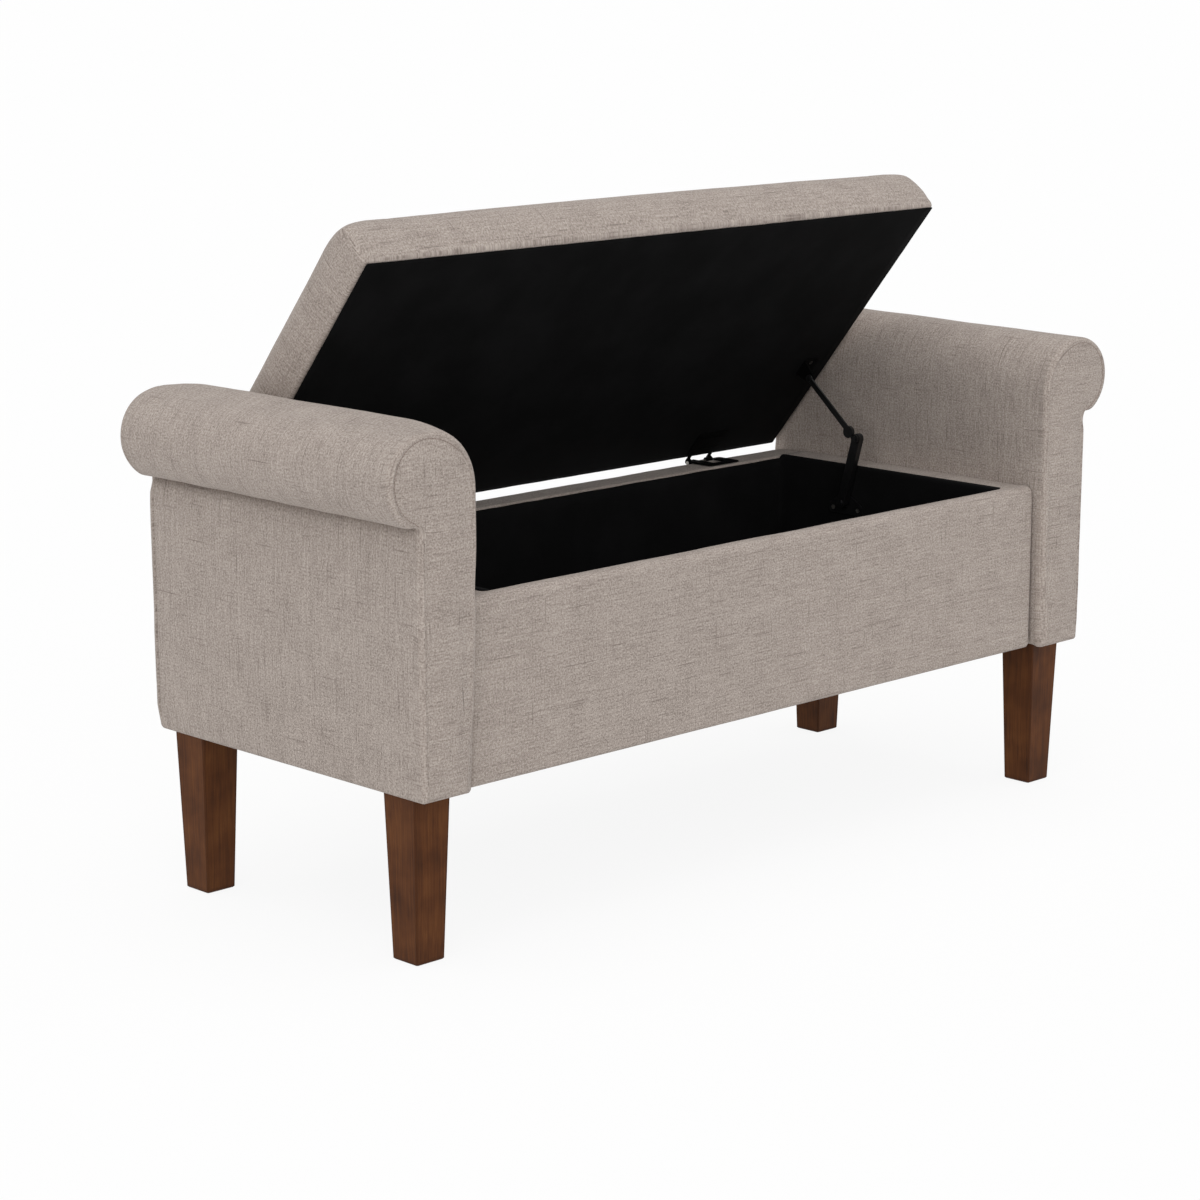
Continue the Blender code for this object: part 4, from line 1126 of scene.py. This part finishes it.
@dataclass
class PanelCover:
    """Padded cover of the front or back: up the face, over the rim and down into the well."""

    name: str
    facing: Facing
    measures: Measures
    wall: float
    cloth: bpy.types.Material
    padding: float = 0.008
    sheet: float = 0.0015
    turn: float = 0.030
    top_radius: float = 0.0115
    bottom_radius: float = 0.007
    inner_radius: float = 0.005
    end_radius: float = 0.0078
    lift: float = 0.0
    hem: float = 0.0025
    lip: float = 0.004  # width of the slope from the hem to the turned-in cloth
    ripples: Slack = ((0.0007, 0.11, 0.0), (0.0003, 0.031, 5.0))

    def outline(self) -> tuple[np.ndarray, np.ndarray]:
        """The cover's section: distance inwards from the face, and height.

        Returns:
            Points of the outer side and then the inner side, and how far each may sink.
        """
        bottom, rim = self.measures.bottom, self.measures.rim + self.lift
        edge = bottom - self.hem
        top, low, inner, wall = self.top_radius, self.bottom_radius, self.inner_radius, self.wall
        outer = np.concatenate([
            [(self.turn, bottom)],
            straight((self.turn, bottom), (low + self.lip, bottom), 4),
            straight((low + self.lip, bottom), (low, edge), 2),
            arc((low, edge + low), low, 270, 180, 6),
            straight((0, edge + low), (0, rim - top), 26),
            arc((top, rim - top), top, 180, 90, 9),
            straight((top, rim), (wall - inner, rim), 6),
            arc((wall - inner, rim - inner), inner, 90, 0, 5),
            straight((wall, rim - inner), (wall, rim - self.turn), 4),
            [(wall, rim - self.turn)],
        ])
        behind = np.array([
            (wall - self.sheet, rim - self.turn),
            (wall - self.sheet, rim - self.padding),
            (self.padding, rim - self.padding),
            (self.padding, bottom + self.sheet),
            (self.turn, bottom + self.sheet),
        ])
        inwards, height = outer.T
        sinks = np.where(inwards > low, 0.0, 1.0)
        sinks[(height > rim - 2 * inner) & (inwards > 0)] = 1.0
        sinks[(height < rim - inner) & (inwards > wall - inner)] = 0.0
        sinks[height <= edge + 1e-6] = 0.0
        return np.concatenate([outer, behind]), np.concatenate([sinks, np.zeros(len(behind))])

    def build(self) -> bpy.types.Object:
        """The cover's upholstery, its rows along X close together at the two ends."""
        outline, sinks = self.outline()
        ahead = np.roll(outline, -1, axis=0) - np.roll(outline, 1, axis=0)
        normals = np.stack([-ahead[:, 1], ahead[:, 0]], 1)
        normals = normals / np.maximum(np.linalg.norm(normals, axis=1), 1e-9)[:, None]
        end, radius = self.measures.end_x, self.end_radius
        near = radius * (1 - np.cos(np.radians(np.linspace(0, 90, 9))))
        middle = np.linspace(-end + radius, end - radius, 150)
        xs = np.concatenate([-end + near[:-1], middle, end - near[-2::-1]])
        to_end = np.clip(end - np.abs(xs), 0, radius)
        drops = radius - np.sqrt(np.maximum(radius**2 - (radius - to_end) ** 2, 0))
        seed = 2.0 + self.facing.value
        ripples = np.zeros(len(xs))
        for depth, reach, more in self.ripples:
            ripples += depth * (1 + noise_along(xs, reach, seed + more, -seed - more))
        at_top = np.clip((outline[:, 1] - self.measures.rim + 0.03) / 0.03, 0, 1)
        rows = []
        for x, drop, ripple in zip(xs, drops, ripples):
            sunk = sinks * (drop + ripple * (0.35 + 0.65 * at_top))
            ring = closed(outline - normals * sunk[:, None])
            y = self.facing.value * (self.measures.panel_y - ring[:, 0]) + self.measures.middle_y
            rows.append(np.stack([np.full(len(ring), x), y, ring[:, 1]], 1))
        around = lengths_along(closed(outline))
        draft = Draft()
        draft.tube(rows, np.array([[(x, place) for place in around] for x in xs]))
        return draft.finish(f"{self.name}_upholstery", self.cloth)

    def dress(self) -> list[bpy.types.Object]:
        """Build the cover and put it on the frame.

        Returns:
            The pieces.
        """
        piece = self.build()
        join_frame(piece, "bench", "cloth", f"{self.name}_cover")
        return [piece]


@dataclass
class RimCover:
    """Padded strip on top of a side wall, turned down into the well."""

    side: Side
    measures: Measures
    cloth: bpy.types.Material
    padding: float = 0.008
    sheet: float = 0.0015
    turn: float = 0.030
    inner_radius: float = 0.005
    outer_radius: float = 0.003
    lift: float = 0.0010
    clear: float = 0.0003  # from the lining
    ripple: float = 0.0006

    def build(self) -> bpy.types.Object:
        """The strip's upholstery."""
        rim = self.measures.rim + self.lift
        low_x, high_x = self.measures.well_x + self.clear, self.measures.end_x
        inner, outer = self.inner_radius, self.outer_radius
        outline = np.concatenate([
            [(low_x, rim - self.turn)],
            straight((low_x, rim - self.turn), (low_x, rim - inner), 4),
            arc((low_x + inner, rim - inner), inner, 180, 90, 5),
            straight((low_x + inner, rim), (high_x - outer, rim), 7),
            arc((high_x - outer, rim - outer), outer, 90, 0, 3),
            [
                (high_x, rim - self.padding),
                (low_x + self.sheet, rim - self.padding),
                (low_x + self.sheet, rim - self.turn),
            ],
        ])
        ys = np.linspace(self.measures.well_front_y, self.measures.well_rear_y, 60)
        ripples = self.ripple * (1 + noise_along(ys, 0.07, self.side.value, 0))
        top = outline[:, 1] > rim - 0.001
        rows = []
        for y, ripple in zip(ys, ripples):
            x, z = closed(outline - np.outer(top, (0, ripple))).T
            depth = np.full(len(x), y + self.measures.middle_y)
            rows.append(np.stack([self.side.value * x, depth, z], 1))
        around = lengths_along(closed(outline))
        draft = Draft()
        draft.tube(rows, np.array([[(place, y) for place in around] for y in ys]))
        return draft.finish(f"{self.side.label}_rim_upholstery", self.cloth)

    def dress(self) -> list[bpy.types.Object]:
        """Build the strip and put it on the frame.

        Returns:
            The pieces.
        """
        piece = self.build()
        join_frame(piece, "bench", "cloth", f"{self.side.label}_rim_cover")
        return [piece]


# Black sheets


@dataclass
class WellLining:
    """The well's black lining: four walls and a floor, lapped over the rims of the ends."""

    measures: Measures
    black: bpy.types.Material
    sheet: float = 0.001
    corner: float = 0.006
    lap: float = 0.011
    lap_taper: float = 0.75  # share of the lap lost towards the rear
    over_rim: float = 0.0011  # clear of the lid brackets with the lid closed
    hem_sheet: float = 0.0006
    ripple: float = 0.0006
    belly: float = 0.0012
    fillet: tuple[tuple[float, float], ...] = ((0.0006, 0.0012), (0.0030, 0.0))

    def ring(self, inset: float, z: float) -> np.ndarray:
        """A closed level ring of the lining, some way inside the walls."""
        well = self.measures
        low = (-(well.well_x - inset), well.well_front_y + inset)
        high = (well.well_x - inset, well.well_rear_y - inset)
        ring = level(rounded(low, high, self.corner, 4, (70, 30)), z)
        ring[:, 1] += well.middle_y
        return ring

    def lapped(self, row: np.ndarray, out: float, over: float) -> np.ndarray:
        """A row of the hem that lies on the rims of the two ends.

        Args:
            row: The top row of a wall.
            out: Distance outside the wall.
            over: Height over the rim.

        Returns:
            The row, unchanged along the front and the back.
        """
        well = self.measures
        depth = row[:, 1] - well.middle_y
        from_corner = np.minimum(depth - well.well_front_y, well.well_rear_y - depth)
        at_end = np.abs(row[:, 0]) > well.well_x - 0.002
        share = at_end * smooth(from_corner, -0.001, 0.003)
        towards_rear = (depth - well.well_front_y) / (well.well_rear_y - well.well_front_y)
        made = row.copy()
        made[:, 0] += np.sign(row[:, 0]) * out * share * (1 - self.lap_taper * towards_rear)
        made[:, 2] += (well.rim + over - row[:, 2]) * share
        return made

    def build(self) -> bpy.types.Object:
        """The tub of cloth: outer walls, hem, inner walls and floor."""
        low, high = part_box("well_lining")
        heights = np.linspace(low.z, high.z, 12)
        rows = [self.ring(0.0, z) for z in heights]
        edge, upper = rows[-1], self.over_rim + self.hem_sheet
        rows += [self.lapped(edge, share * self.lap, self.over_rim) for share in (0.0, 0.5, 1.0)]
        rows += [self.lapped(edge, share * self.lap, upper) for share in (1.0, 0.5, 0.0)]
        rows.append(self.lapped(self.ring(self.sheet, high.z), 0.0, self.over_rim))
        rows += [self.ring(self.sheet, z) for z in heights[:0:-1]]
        for inside, raised in self.fillet:
            rows.append(self.ring(self.sheet + inside, low.z + self.sheet + raised))
        for row in rows:
            at_edge = np.isclose(row[:, 2], high.z)
            row[:, 2] -= at_edge * self.ripple * (1 + noise_at(row, 0.04))
        middle = np.array([0.0, edge[:, 1].mean(), low.z + self.sheet])
        inner = rows[-1]
        for share in (0.94, 0.86, 0.74, 0.6, 0.45, 0.3, 0.15, 0.05):
            rows.append(middle + (inner - middle) * share)
        draft = Draft()
        draft.tube(rows)
        return draft.finish("well_lining_cloth", self.black)

    def sag(self, piece: bpy.types.Object) -> None:
        """Let the walls belly slightly into the well."""
        places = places_of(piece)
        low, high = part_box("well_lining")
        share = np.clip((places[:, 2] - low.z) / (high.z - low.z), 0, 1)
        waves = noise_at(places, 0.09)
        depth = np.maximum(np.sin(math.pi * share) ** 0.7 * self.belly * (0.6 + waves), 0)
        well = self.measures
        x, y = places[:, 0].copy(), places[:, 1] - well.middle_y
        places[:, 0] -= np.sign(x) * depth * (np.abs(np.abs(x) - well.well_x) < 0.004)
        places[:, 1] += depth * (np.abs(y - well.well_front_y) < 0.004)
        places[:, 1] -= depth * (np.abs(y - well.well_rear_y) < 0.004)
        put_places(piece, places)

    def dress(self) -> list[bpy.types.Object]:
        """Build the lining and put it on the frame.

        Returns:
            The pieces.
        """
        piece = self.build()
        self.sag(piece)
        join_frame(piece, "bench", "black_cloth", "well_lining")
        return [piece]


@dataclass
class DustSheet:
    """A flat black sheet with a slightly wavy edge, under the box or under the lid."""

    name: str
    node: str
    body: str
    rests_on: Sequence[str]
    black: bpy.types.Material
    corner: float
    seed: float
    tilt: Matrix
    proud: float = 0.0
    ripple: float = 0.0009

    def build(self) -> bpy.types.Object:
        """The sheet, built level and turned to its place."""
        low, high = closed_box(self.node, self.tilt)
        half = (high - low) / 2 + Vector((self.proud, self.proud, 0))
        middle = np.array((low + high) / 2)[:2]
        outline = rounded(-half, half, self.corner, 5, (90, 40))
        inwards = outline / np.linalg.norm(outline, axis=1)[:, None]
        wave = noise_at(level(outline, self.seed)[:-1], 0.021)
        wave = wave + noise_at(level(outline, 0)[:-1], 0.06)
        outline = outline - inwards * (self.ripple * (0.6 + 0.5 * wave))[:, None]
        shares = (0.02, 0.3, 0.6, 0.85, 0.97, 1.0)
        rings = [(share, high.z) for share in shares] + [(share, low.z) for share in shares[::-1]]
        draft = Draft()
        draft.tube([level(outline * share + middle, height) for share, height in rings])
        piece = draft.finish(self.name, self.black)
        piece.data.transform(self.tilt)
        return piece

    def dress(self) -> list[bpy.types.Object]:
        """Build the sheet and put it on the frame.

        Returns:
            The pieces.
        """
        piece = self.build()
        low, high = closed_box(self.node, self.tilt)
        join_frame(piece, self.body, "black_cloth", self.node)
        return [piece]


# Lid


@dataclass
class LidCushion:
    """The lid's cushion: cloth swollen by its foam, flat where the board lies."""

    cloth: bpy.types.Material
    tilt: Matrix
    edge_radius: float = 0.023
    top_corner: float = 0.054
    middle_corner: float = 0.018
    bottom_corner: float = 0.004
    cad_crown: float = 0.006
    crown: float = 0.007
    proud_top: float = 0.0065
    proud_side: float = 0.0055
    proud_end: float = 0.0028
    bow: float = 0.0045
    top_gap: float = 0.012  # half width of the flat middle of the top
    voxel: float = 0.0056
    cap: float = 0.007  # most that the simulation may move the cloth
    pressure: float = 4.0
    foam_hold: float = 0.1
    foam_stiffness: float = 1.6
    frames: int = 20
    slack: Slack = ((0.0010, 0.12, 6.0), (0.0004, 0.03, 7.0))

    def box(self) -> tuple[Vector, Vector]:
        """Box of the lid's cover with the lid closed."""
        return closed_box("lid_cover", self.tilt)

    def ring(self, inset: float, height: float, corner: float, swollen: float) -> np.ndarray:
        """A closed level ring of the cushion.

        Args:
            inset: Distance inside the lid's swollen edge.
            height: Its height.
            corner: Radius of the corners.
            swollen: Share of the swelling and bow of the sides.

        Returns:
            Points of the ring.
        """
        low, high = (np.array(spot)[:2] for spot in self.box())
        inside = inset - swollen * np.array([self.proud_end, self.proud_side])
        low, high = low + inside, high - inside
        outline = rounded(low, high, corner, 6, (24, 24))
        aside = (outline - (low + high) / 2) / ((high - low) / 2)
        outline[:, 1] += swollen * self.bow * aside[:, 1] * (1 - np.abs(aside[:, 0]) ** 2.5)
        return level(outline, height)

    def start(self) -> bpy.types.Object:
        """The slightly smaller form that the simulation starts from, lid closed."""
        low, high = self.box()
        top = high.z - self.cad_crown + self.proud_top
        edge = top - self.edge_radius
        rows = [
            self.ring(0.0010, low.z, self.bottom_corner, 0.0),
            self.ring(0.0, low.z + 0.0030, self.bottom_corner, 0.35),
        ]
        for share in (0.2, 0.4, 0.6, 0.8):
            corner = self.bottom_corner + share**2 * (self.middle_corner - self.bottom_corner)
            height = low.z + share * (edge - low.z)
            rows.append(self.ring(0.0, height, corner, 1 - (1 - share) ** 3))
        for angle in range(0, 91, 15):
            risen, turned = math.sin(math.radians(angle)), 1 - math.cos(math.radians(angle))
            corner = self.middle_corner + risen**2 * (self.top_corner - self.middle_corner)
            height = edge + self.edge_radius * risen
            rows.append(self.ring(self.edge_radius * turned, height, corner, 1.0))
        middle = (high.y - low.y) / 2
        for share in (0.06, 0.15, 0.27, 0.42, 0.6, 0.8, 0.95):
            inset = self.edge_radius + share * (middle - self.edge_radius - self.top_gap)
            height = top + self.crown * (1 - (1 - share) ** 2.4)
            rows.append(self.ring(inset, height, self.top_corner * (1 - 0.6 * share), 1 - share))
        draft = Draft()
        draft.tube(rows)
        return draft.finish("lid_cushion", self.cloth)

    def remesh(self, piece: bpy.types.Object) -> None:
        """Give the form an even net of small faces."""
        remesh = piece.modifiers.new("even net", "REMESH")
        remesh.mode = "VOXEL"
        remesh.voxel_size = self.voxel
        apply_modifiers(piece)

    def swell(self, piece: bpy.types.Object) -> None:
        """Swell the cloth by pressure, its underside held and the rest tied to the foam."""
        low, _ = self.box()
        places = places_of(piece)
        held = piece.vertex_groups.new(name="held")
        for index, height in enumerate(places[:, 2]):
            share = 1 - min(max((height - low.z - 0.003) / 0.010, 0), 1)
            held.add([index], max(share, self.foam_hold), "REPLACE")
        cloth = piece.modifiers.new("swell", "CLOTH")
        settings = {
            "quality": 4,
            "mass": 0.3,
            "tension_stiffness": 18,
            "compression_stiffness": 18,
            "bending_stiffness": 4,
            "use_pressure": True,
            "uniform_pressure_force": self.pressure,
            "vertex_group_mass": held.name,
            "pin_stiffness": self.foam_stiffness,
        }
        for key, value in settings.items():
            setattr(cloth.settings, key, value)
        cloth.settings.effector_weights.gravity = 0
        cloth.point_cache.frame_start = 1
        cloth.point_cache.frame_end = self.frames
        scene = bpy.context.scene
        for number in range(1, self.frames + 1):
            scene.frame_set(number)
        evaluated = piece.evaluated_get(bpy.context.evaluated_depsgraph_get())
        moves = read(evaluated.data.vertices, "co", 3) - places
        sizes = np.linalg.norm(moves, axis=1)
        moves *= np.minimum(1, self.cap / np.maximum(sizes, 1e-9))[:, None]
        piece.modifiers.remove(cloth)
        piece.vertex_groups.clear()
        put_places(piece, places + moves)
        scene.frame_set(1)
        LOG.info("lid cushion swelled by up to %.1f mm", 1000 * min(sizes.max(), self.cap))

    def lay_weave(self, piece: bpy.types.Object) -> None:
        """Give every corner its place in the cloth: over the top and down the four sides."""
        low, high = self.box()
        shoulder = high.z - self.cad_crown - 0.002
        mesh = piece.data
        mesh.update()
        totals = read(mesh.polygons, "loop_total", 1, np.int32)[:, 0]
        facing = np.repeat(np.abs(read(mesh.polygons, "normal", 3)), totals, axis=0)
        at = places_of(piece)[read(mesh.loops, "vertex_index", 1, np.int32)[:, 0]]
        down = np.maximum(shoulder - at[:, 2], 0)
        at_end = facing[:, 0] > facing[:, 1]
        across = at[:, 0] + np.where(at_end, np.sign(at[:, 0]) * down, 0)
        along = at[:, 1] + np.where(at_end, 0, np.sign(at[:, 1] - (low.y + high.y) / 2) * down)
        put_weave(mesh, np.stack([across, along], 1))

    def above_board(self, places: np.ndarray) -> np.ndarray:
        """Share of the slack at each place: none under the board."""
        low, _ = self.box()
        return np.clip((places[:, 2] - low.z - 0.004) / 0.01, 0, 1)

    def dress(self) -> list[bpy.types.Object]:
        """Build the cushion and put it on the frame.

        Returns:
            The pieces.
        """
        piece = self.start()
        self.remesh(piece)
        self.swell(piece)
        finer = piece.modifiers.new("finer", "SUBSURF")
        finer.levels = finer.render_levels = 1
        apply_modifiers(piece)
        slacken(piece, self.slack, 0.0, self.above_board)
        self.lay_weave(piece)
        piece.data.shade_smooth()
        piece.data.transform(self.tilt)
        join_frame(piece, "lid", "cloth", "lid_cover", "lid_foam")
        return [piece]


# Rigid parts of the frame


@dataclass
class Fittings:
    """Legs, boards, hinges, stays and screws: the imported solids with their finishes."""

    wood: bpy.types.Material
    plywood: bpy.types.Material
    fibreboard: bpy.types.Material
    black: bpy.types.Material
    dull: bpy.types.Material
    steel: bpy.types.Material

    def finish_of(self, node: str) -> bpy.types.Material:
        """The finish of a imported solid: that of the first word that its name holds."""
        finishes = {
            "bolt": self.steel,
            "_leg": self.wood,
            "former": self.fibreboard,
            "lid_front_screw": self.black,
            "lid_rear_screw": self.black,
            "screw": self.steel,
            "pin": self.steel,
            "hinge": self.dull,
            "bracket": self.dull,
            "stay": self.black,
            "": self.plywood,
        }
        return next(finish for word, finish in finishes.items() if word in node)

    def dress(self) -> list[str]:
        """Give each rigid solid its finish.

        Returns:
            Names of the solids.
        """
        soft = ("cover", "lining", "sheet", "foam")
        rigid = [name for name in frame["nodes"] if not name.endswith(soft)]
        for name in rigid:
            for slot in frame["nodes"][name].material_slots:
                slot.link = "OBJECT"
                slot.material = self.finish_of(name)
        return rigid


# Studio


@dataclass
class Studio:
    """Pale floor, soft light all round and a soft key from the front left, and the camera."""

    middle_y: float
    ambient: float = 0.46
    key: float = 1.12
    fill: float = 0.38
    overhead: float = 1.00
    floor_colour: Colour = (0.93, 0.93, 0.93)
    floor_glow: float = 0.90
    floor_half: float = 70.0
    floor_drop: float = 0.0004
    eye: tuple[float, float, float] = (-2.9077, -2.8837, 1.1957)
    target: tuple[float, float, float] = (0.0, 0.0797, 0.2972)
    lens: float = 96.58
    sensor: float = 36.0

    def seen_directly(self, graph: Graph) -> Wire:
        """1 for camera, mirror and glass rays, 0 for light that falls on the object."""
        rays = {wire.socket.name: wire for wire in graph.node("ShaderNodeLightPath").outputs()}
        seen = rays["Is Camera Ray"].larger(rays["Is Glossy Ray"])
        return seen.larger(rays["Is Transmission Ray"])

    def light_world(self) -> None:
        """Even ambient light, and white where the camera sees past the floor."""
        world = bpy.data.worlds.new("studio")
        bpy.context.scene.world = world
        graph = Graph(world)
        strength = self.seen_directly(graph) * (1 - self.ambient) + self.ambient
        inputs = {"Color": (1, 1, 1, 1), "Strength": strength}
        shader = graph.node("ShaderNodeBackground", inputs=inputs)
        graph.node("ShaderNodeOutputWorld", inputs={0: shader})

    def light(self, name: str, energy: float, direction: Vector, spread: float) -> None:
        """Add a broad, far light.

        Args:
            name: Name of the light.
            energy: Its strength.
            direction: Where it comes from.
            spread: How wide it looks, in degrees.
        """
        data = bpy.data.lights.new(name, "SUN")
        data.energy = energy
        data.angle = math.radians(spread)
        lamp = bpy.data.objects.new(name, data)
        lamp.rotation_euler = direction.to_track_quat("Z", "Y").to_euler()
        bpy.context.scene.collection.objects.link(lamp)

    def lay_floor(self) -> None:
        """A floor wide enough to fill the view."""
        material = bpy.data.materials.new("studio_floor")
        graph = Graph(material)
        matt = graph.node("ShaderNodeBsdfDiffuse", inputs={"Color": (*self.floor_colour, 1.0)})
        glow = graph.node("ShaderNodeEmission", inputs={"Color": (1, 1, 1, 1), "Strength": 1.0})
        share = self.seen_directly(graph) * self.floor_glow
        shader = graph.node("ShaderNodeMixShader", inputs={0: share, 1: matt, 2: glow})
        graph.node("ShaderNodeOutputMaterial", inputs={0: shader})
        mesh = bpy.data.meshes.new("studio_floor")
        corners = [
            (x * self.floor_half, y * self.floor_half, 0)
            for x, y in ((-1, -1), (1, -1), (1, 1), (-1, 1))
        ]
        mesh.from_pydata(corners, [], [(0, 1, 2, 3)])
        mesh.materials.append(material)
        floor = bpy.data.objects.new("studio_floor", mesh)
        floor.location.z = -self.floor_drop
        bpy.context.scene.collection.objects.link(floor)

    def place_camera(self) -> None:
        """The camera where the photograph was taken from."""
        data = bpy.data.cameras.new("camera")
        data.lens = self.lens
        data.sensor_width = self.sensor
        camera = bpy.data.objects.new("camera", data)
        shift = Vector((0, self.middle_y, 0))
        camera.location = Vector(self.eye) + shift
        view = Vector(self.target) + shift - camera.location
        camera.rotation_euler = view.to_track_quat("-Z", "Y").to_euler()
        bpy.context.scene.collection.objects.link(camera)
        bpy.context.scene.camera = camera

    def build(self) -> None:
        """Set up light, floor and camera."""
        self.light_world()
        self.light("key", self.key, Vector((-0.74, -0.62, 0.45)), 60)
        self.light("fill", self.fill, Vector((0.7, -0.8, 0.5)), 90)
        self.light("overhead", self.overhead, Vector((-0.1, 0.05, 1.0)), 60)
        self.lay_floor()
        self.place_camera()
        bpy.context.scene.view_settings.view_transform = "Standard"


# Whole bench


def lid_tilt() -> Matrix:
    """The turn of the lid about its hinge pins, from closed to open."""
    joint = next(joint for joint in frame["joints"] if joint["name"] == "lid_hinge")
    pin = Vector(joint["pos_m"])
    turn = Matrix.Rotation(-math.radians(joint["range_deg"][1]), 4, "X")
    return Matrix.Translation(pin) @ turn @ Matrix.Translation(-pin)


def main() -> None:
    """Dress every part of the bench, set up the studio and log each piece's face count."""
    logging.basicConfig(level=logging.INFO, format="%(message)s")
    measures = Measures.read()
    tilt = lid_tilt()
    leg_low, leg_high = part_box("front_right_leg")
    leg_x, leg_y, _ = (leg_low + leg_high) / 2
    cloth = HeatheredCloth("heathered_cloth").make()
    black = BlackCloth("black_cloth").make()
    thread = Thread("sewing_thread").make()
    middle_y = measures.middle_y
    fittings = Fittings(
        wood=StainedWood("walnut_stain", leg_x, middle_y - leg_y, middle_y).make(),
        plywood=Board("plywood", (0.60, 0.45, 0.28), (0.47, 0.33, 0.19)).make(),
        fibreboard=Board(
            "fibreboard", (0.32, 0.22, 0.12), (0.25, 0.165, 0.09), (220.0, 220.0, 220.0)
        ).make(),
        black=Metal(
            "black_steel", (0.0045, 0.0045, 0.0048), (0.009, 0.0085, 0.008), 0.36, 0.0, 0.40
        ).make(),
        dull=Metal(
            "dull_black_steel", (0.0014, 0.0014, 0.0014), (0.002, 0.002, 0.002), 0.75, 0.0, 0.05
        ).make(),
        steel=Metal("zinc_steel", (0.30, 0.29, 0.27), (0.20, 0.19, 0.17), 0.42, 1.0).make(),
    )
    LOG.info("rigid solids: %s", ", ".join(fittings.dress()))
    lining_gap = 0.0003
    front_wall = measures.panel_y + measures.well_front_y - lining_gap
    back_wall = measures.panel_y - measures.well_rear_y - lining_gap
    assemblies = [
        Arm(Side.LEFT, measures, cloth, thread),
        Arm(Side.RIGHT, measures, cloth, thread, top_swell=0.0065, top_reach=0.120, settle=0.0045),
        PanelCover("front_panel", Facing.FRONT, measures, front_wall, cloth, lift=0.003),
        PanelCover("back_panel", Facing.REAR, measures, back_wall, cloth),
        RimCover(Side.LEFT, measures, cloth),
        RimCover(Side.RIGHT, measures, cloth),
        WellLining(measures, black),
        DustSheet(
            "underside_sheet", "underside_dust_sheet", "bench",
            ["bottom_board", "left_arm_frame", "right_arm_frame"], black, 0.004, 11.0, Matrix(),
        ),
        LidCushion(cloth, tilt),
        DustSheet(
            "lid_dust_sheet", "lid_dust_cover", "lid", ["lid_board"], black, 0.002, 17.0, tilt,
            proud=0.0025,
        ),
    ]
    for assembly in assemblies:
        for piece in assembly.dress():
            LOG.info("%s: %d faces", piece.name, len(piece.data.polygons))
    Studio(middle_y).build()


if __name__ == "__main__":
    main()
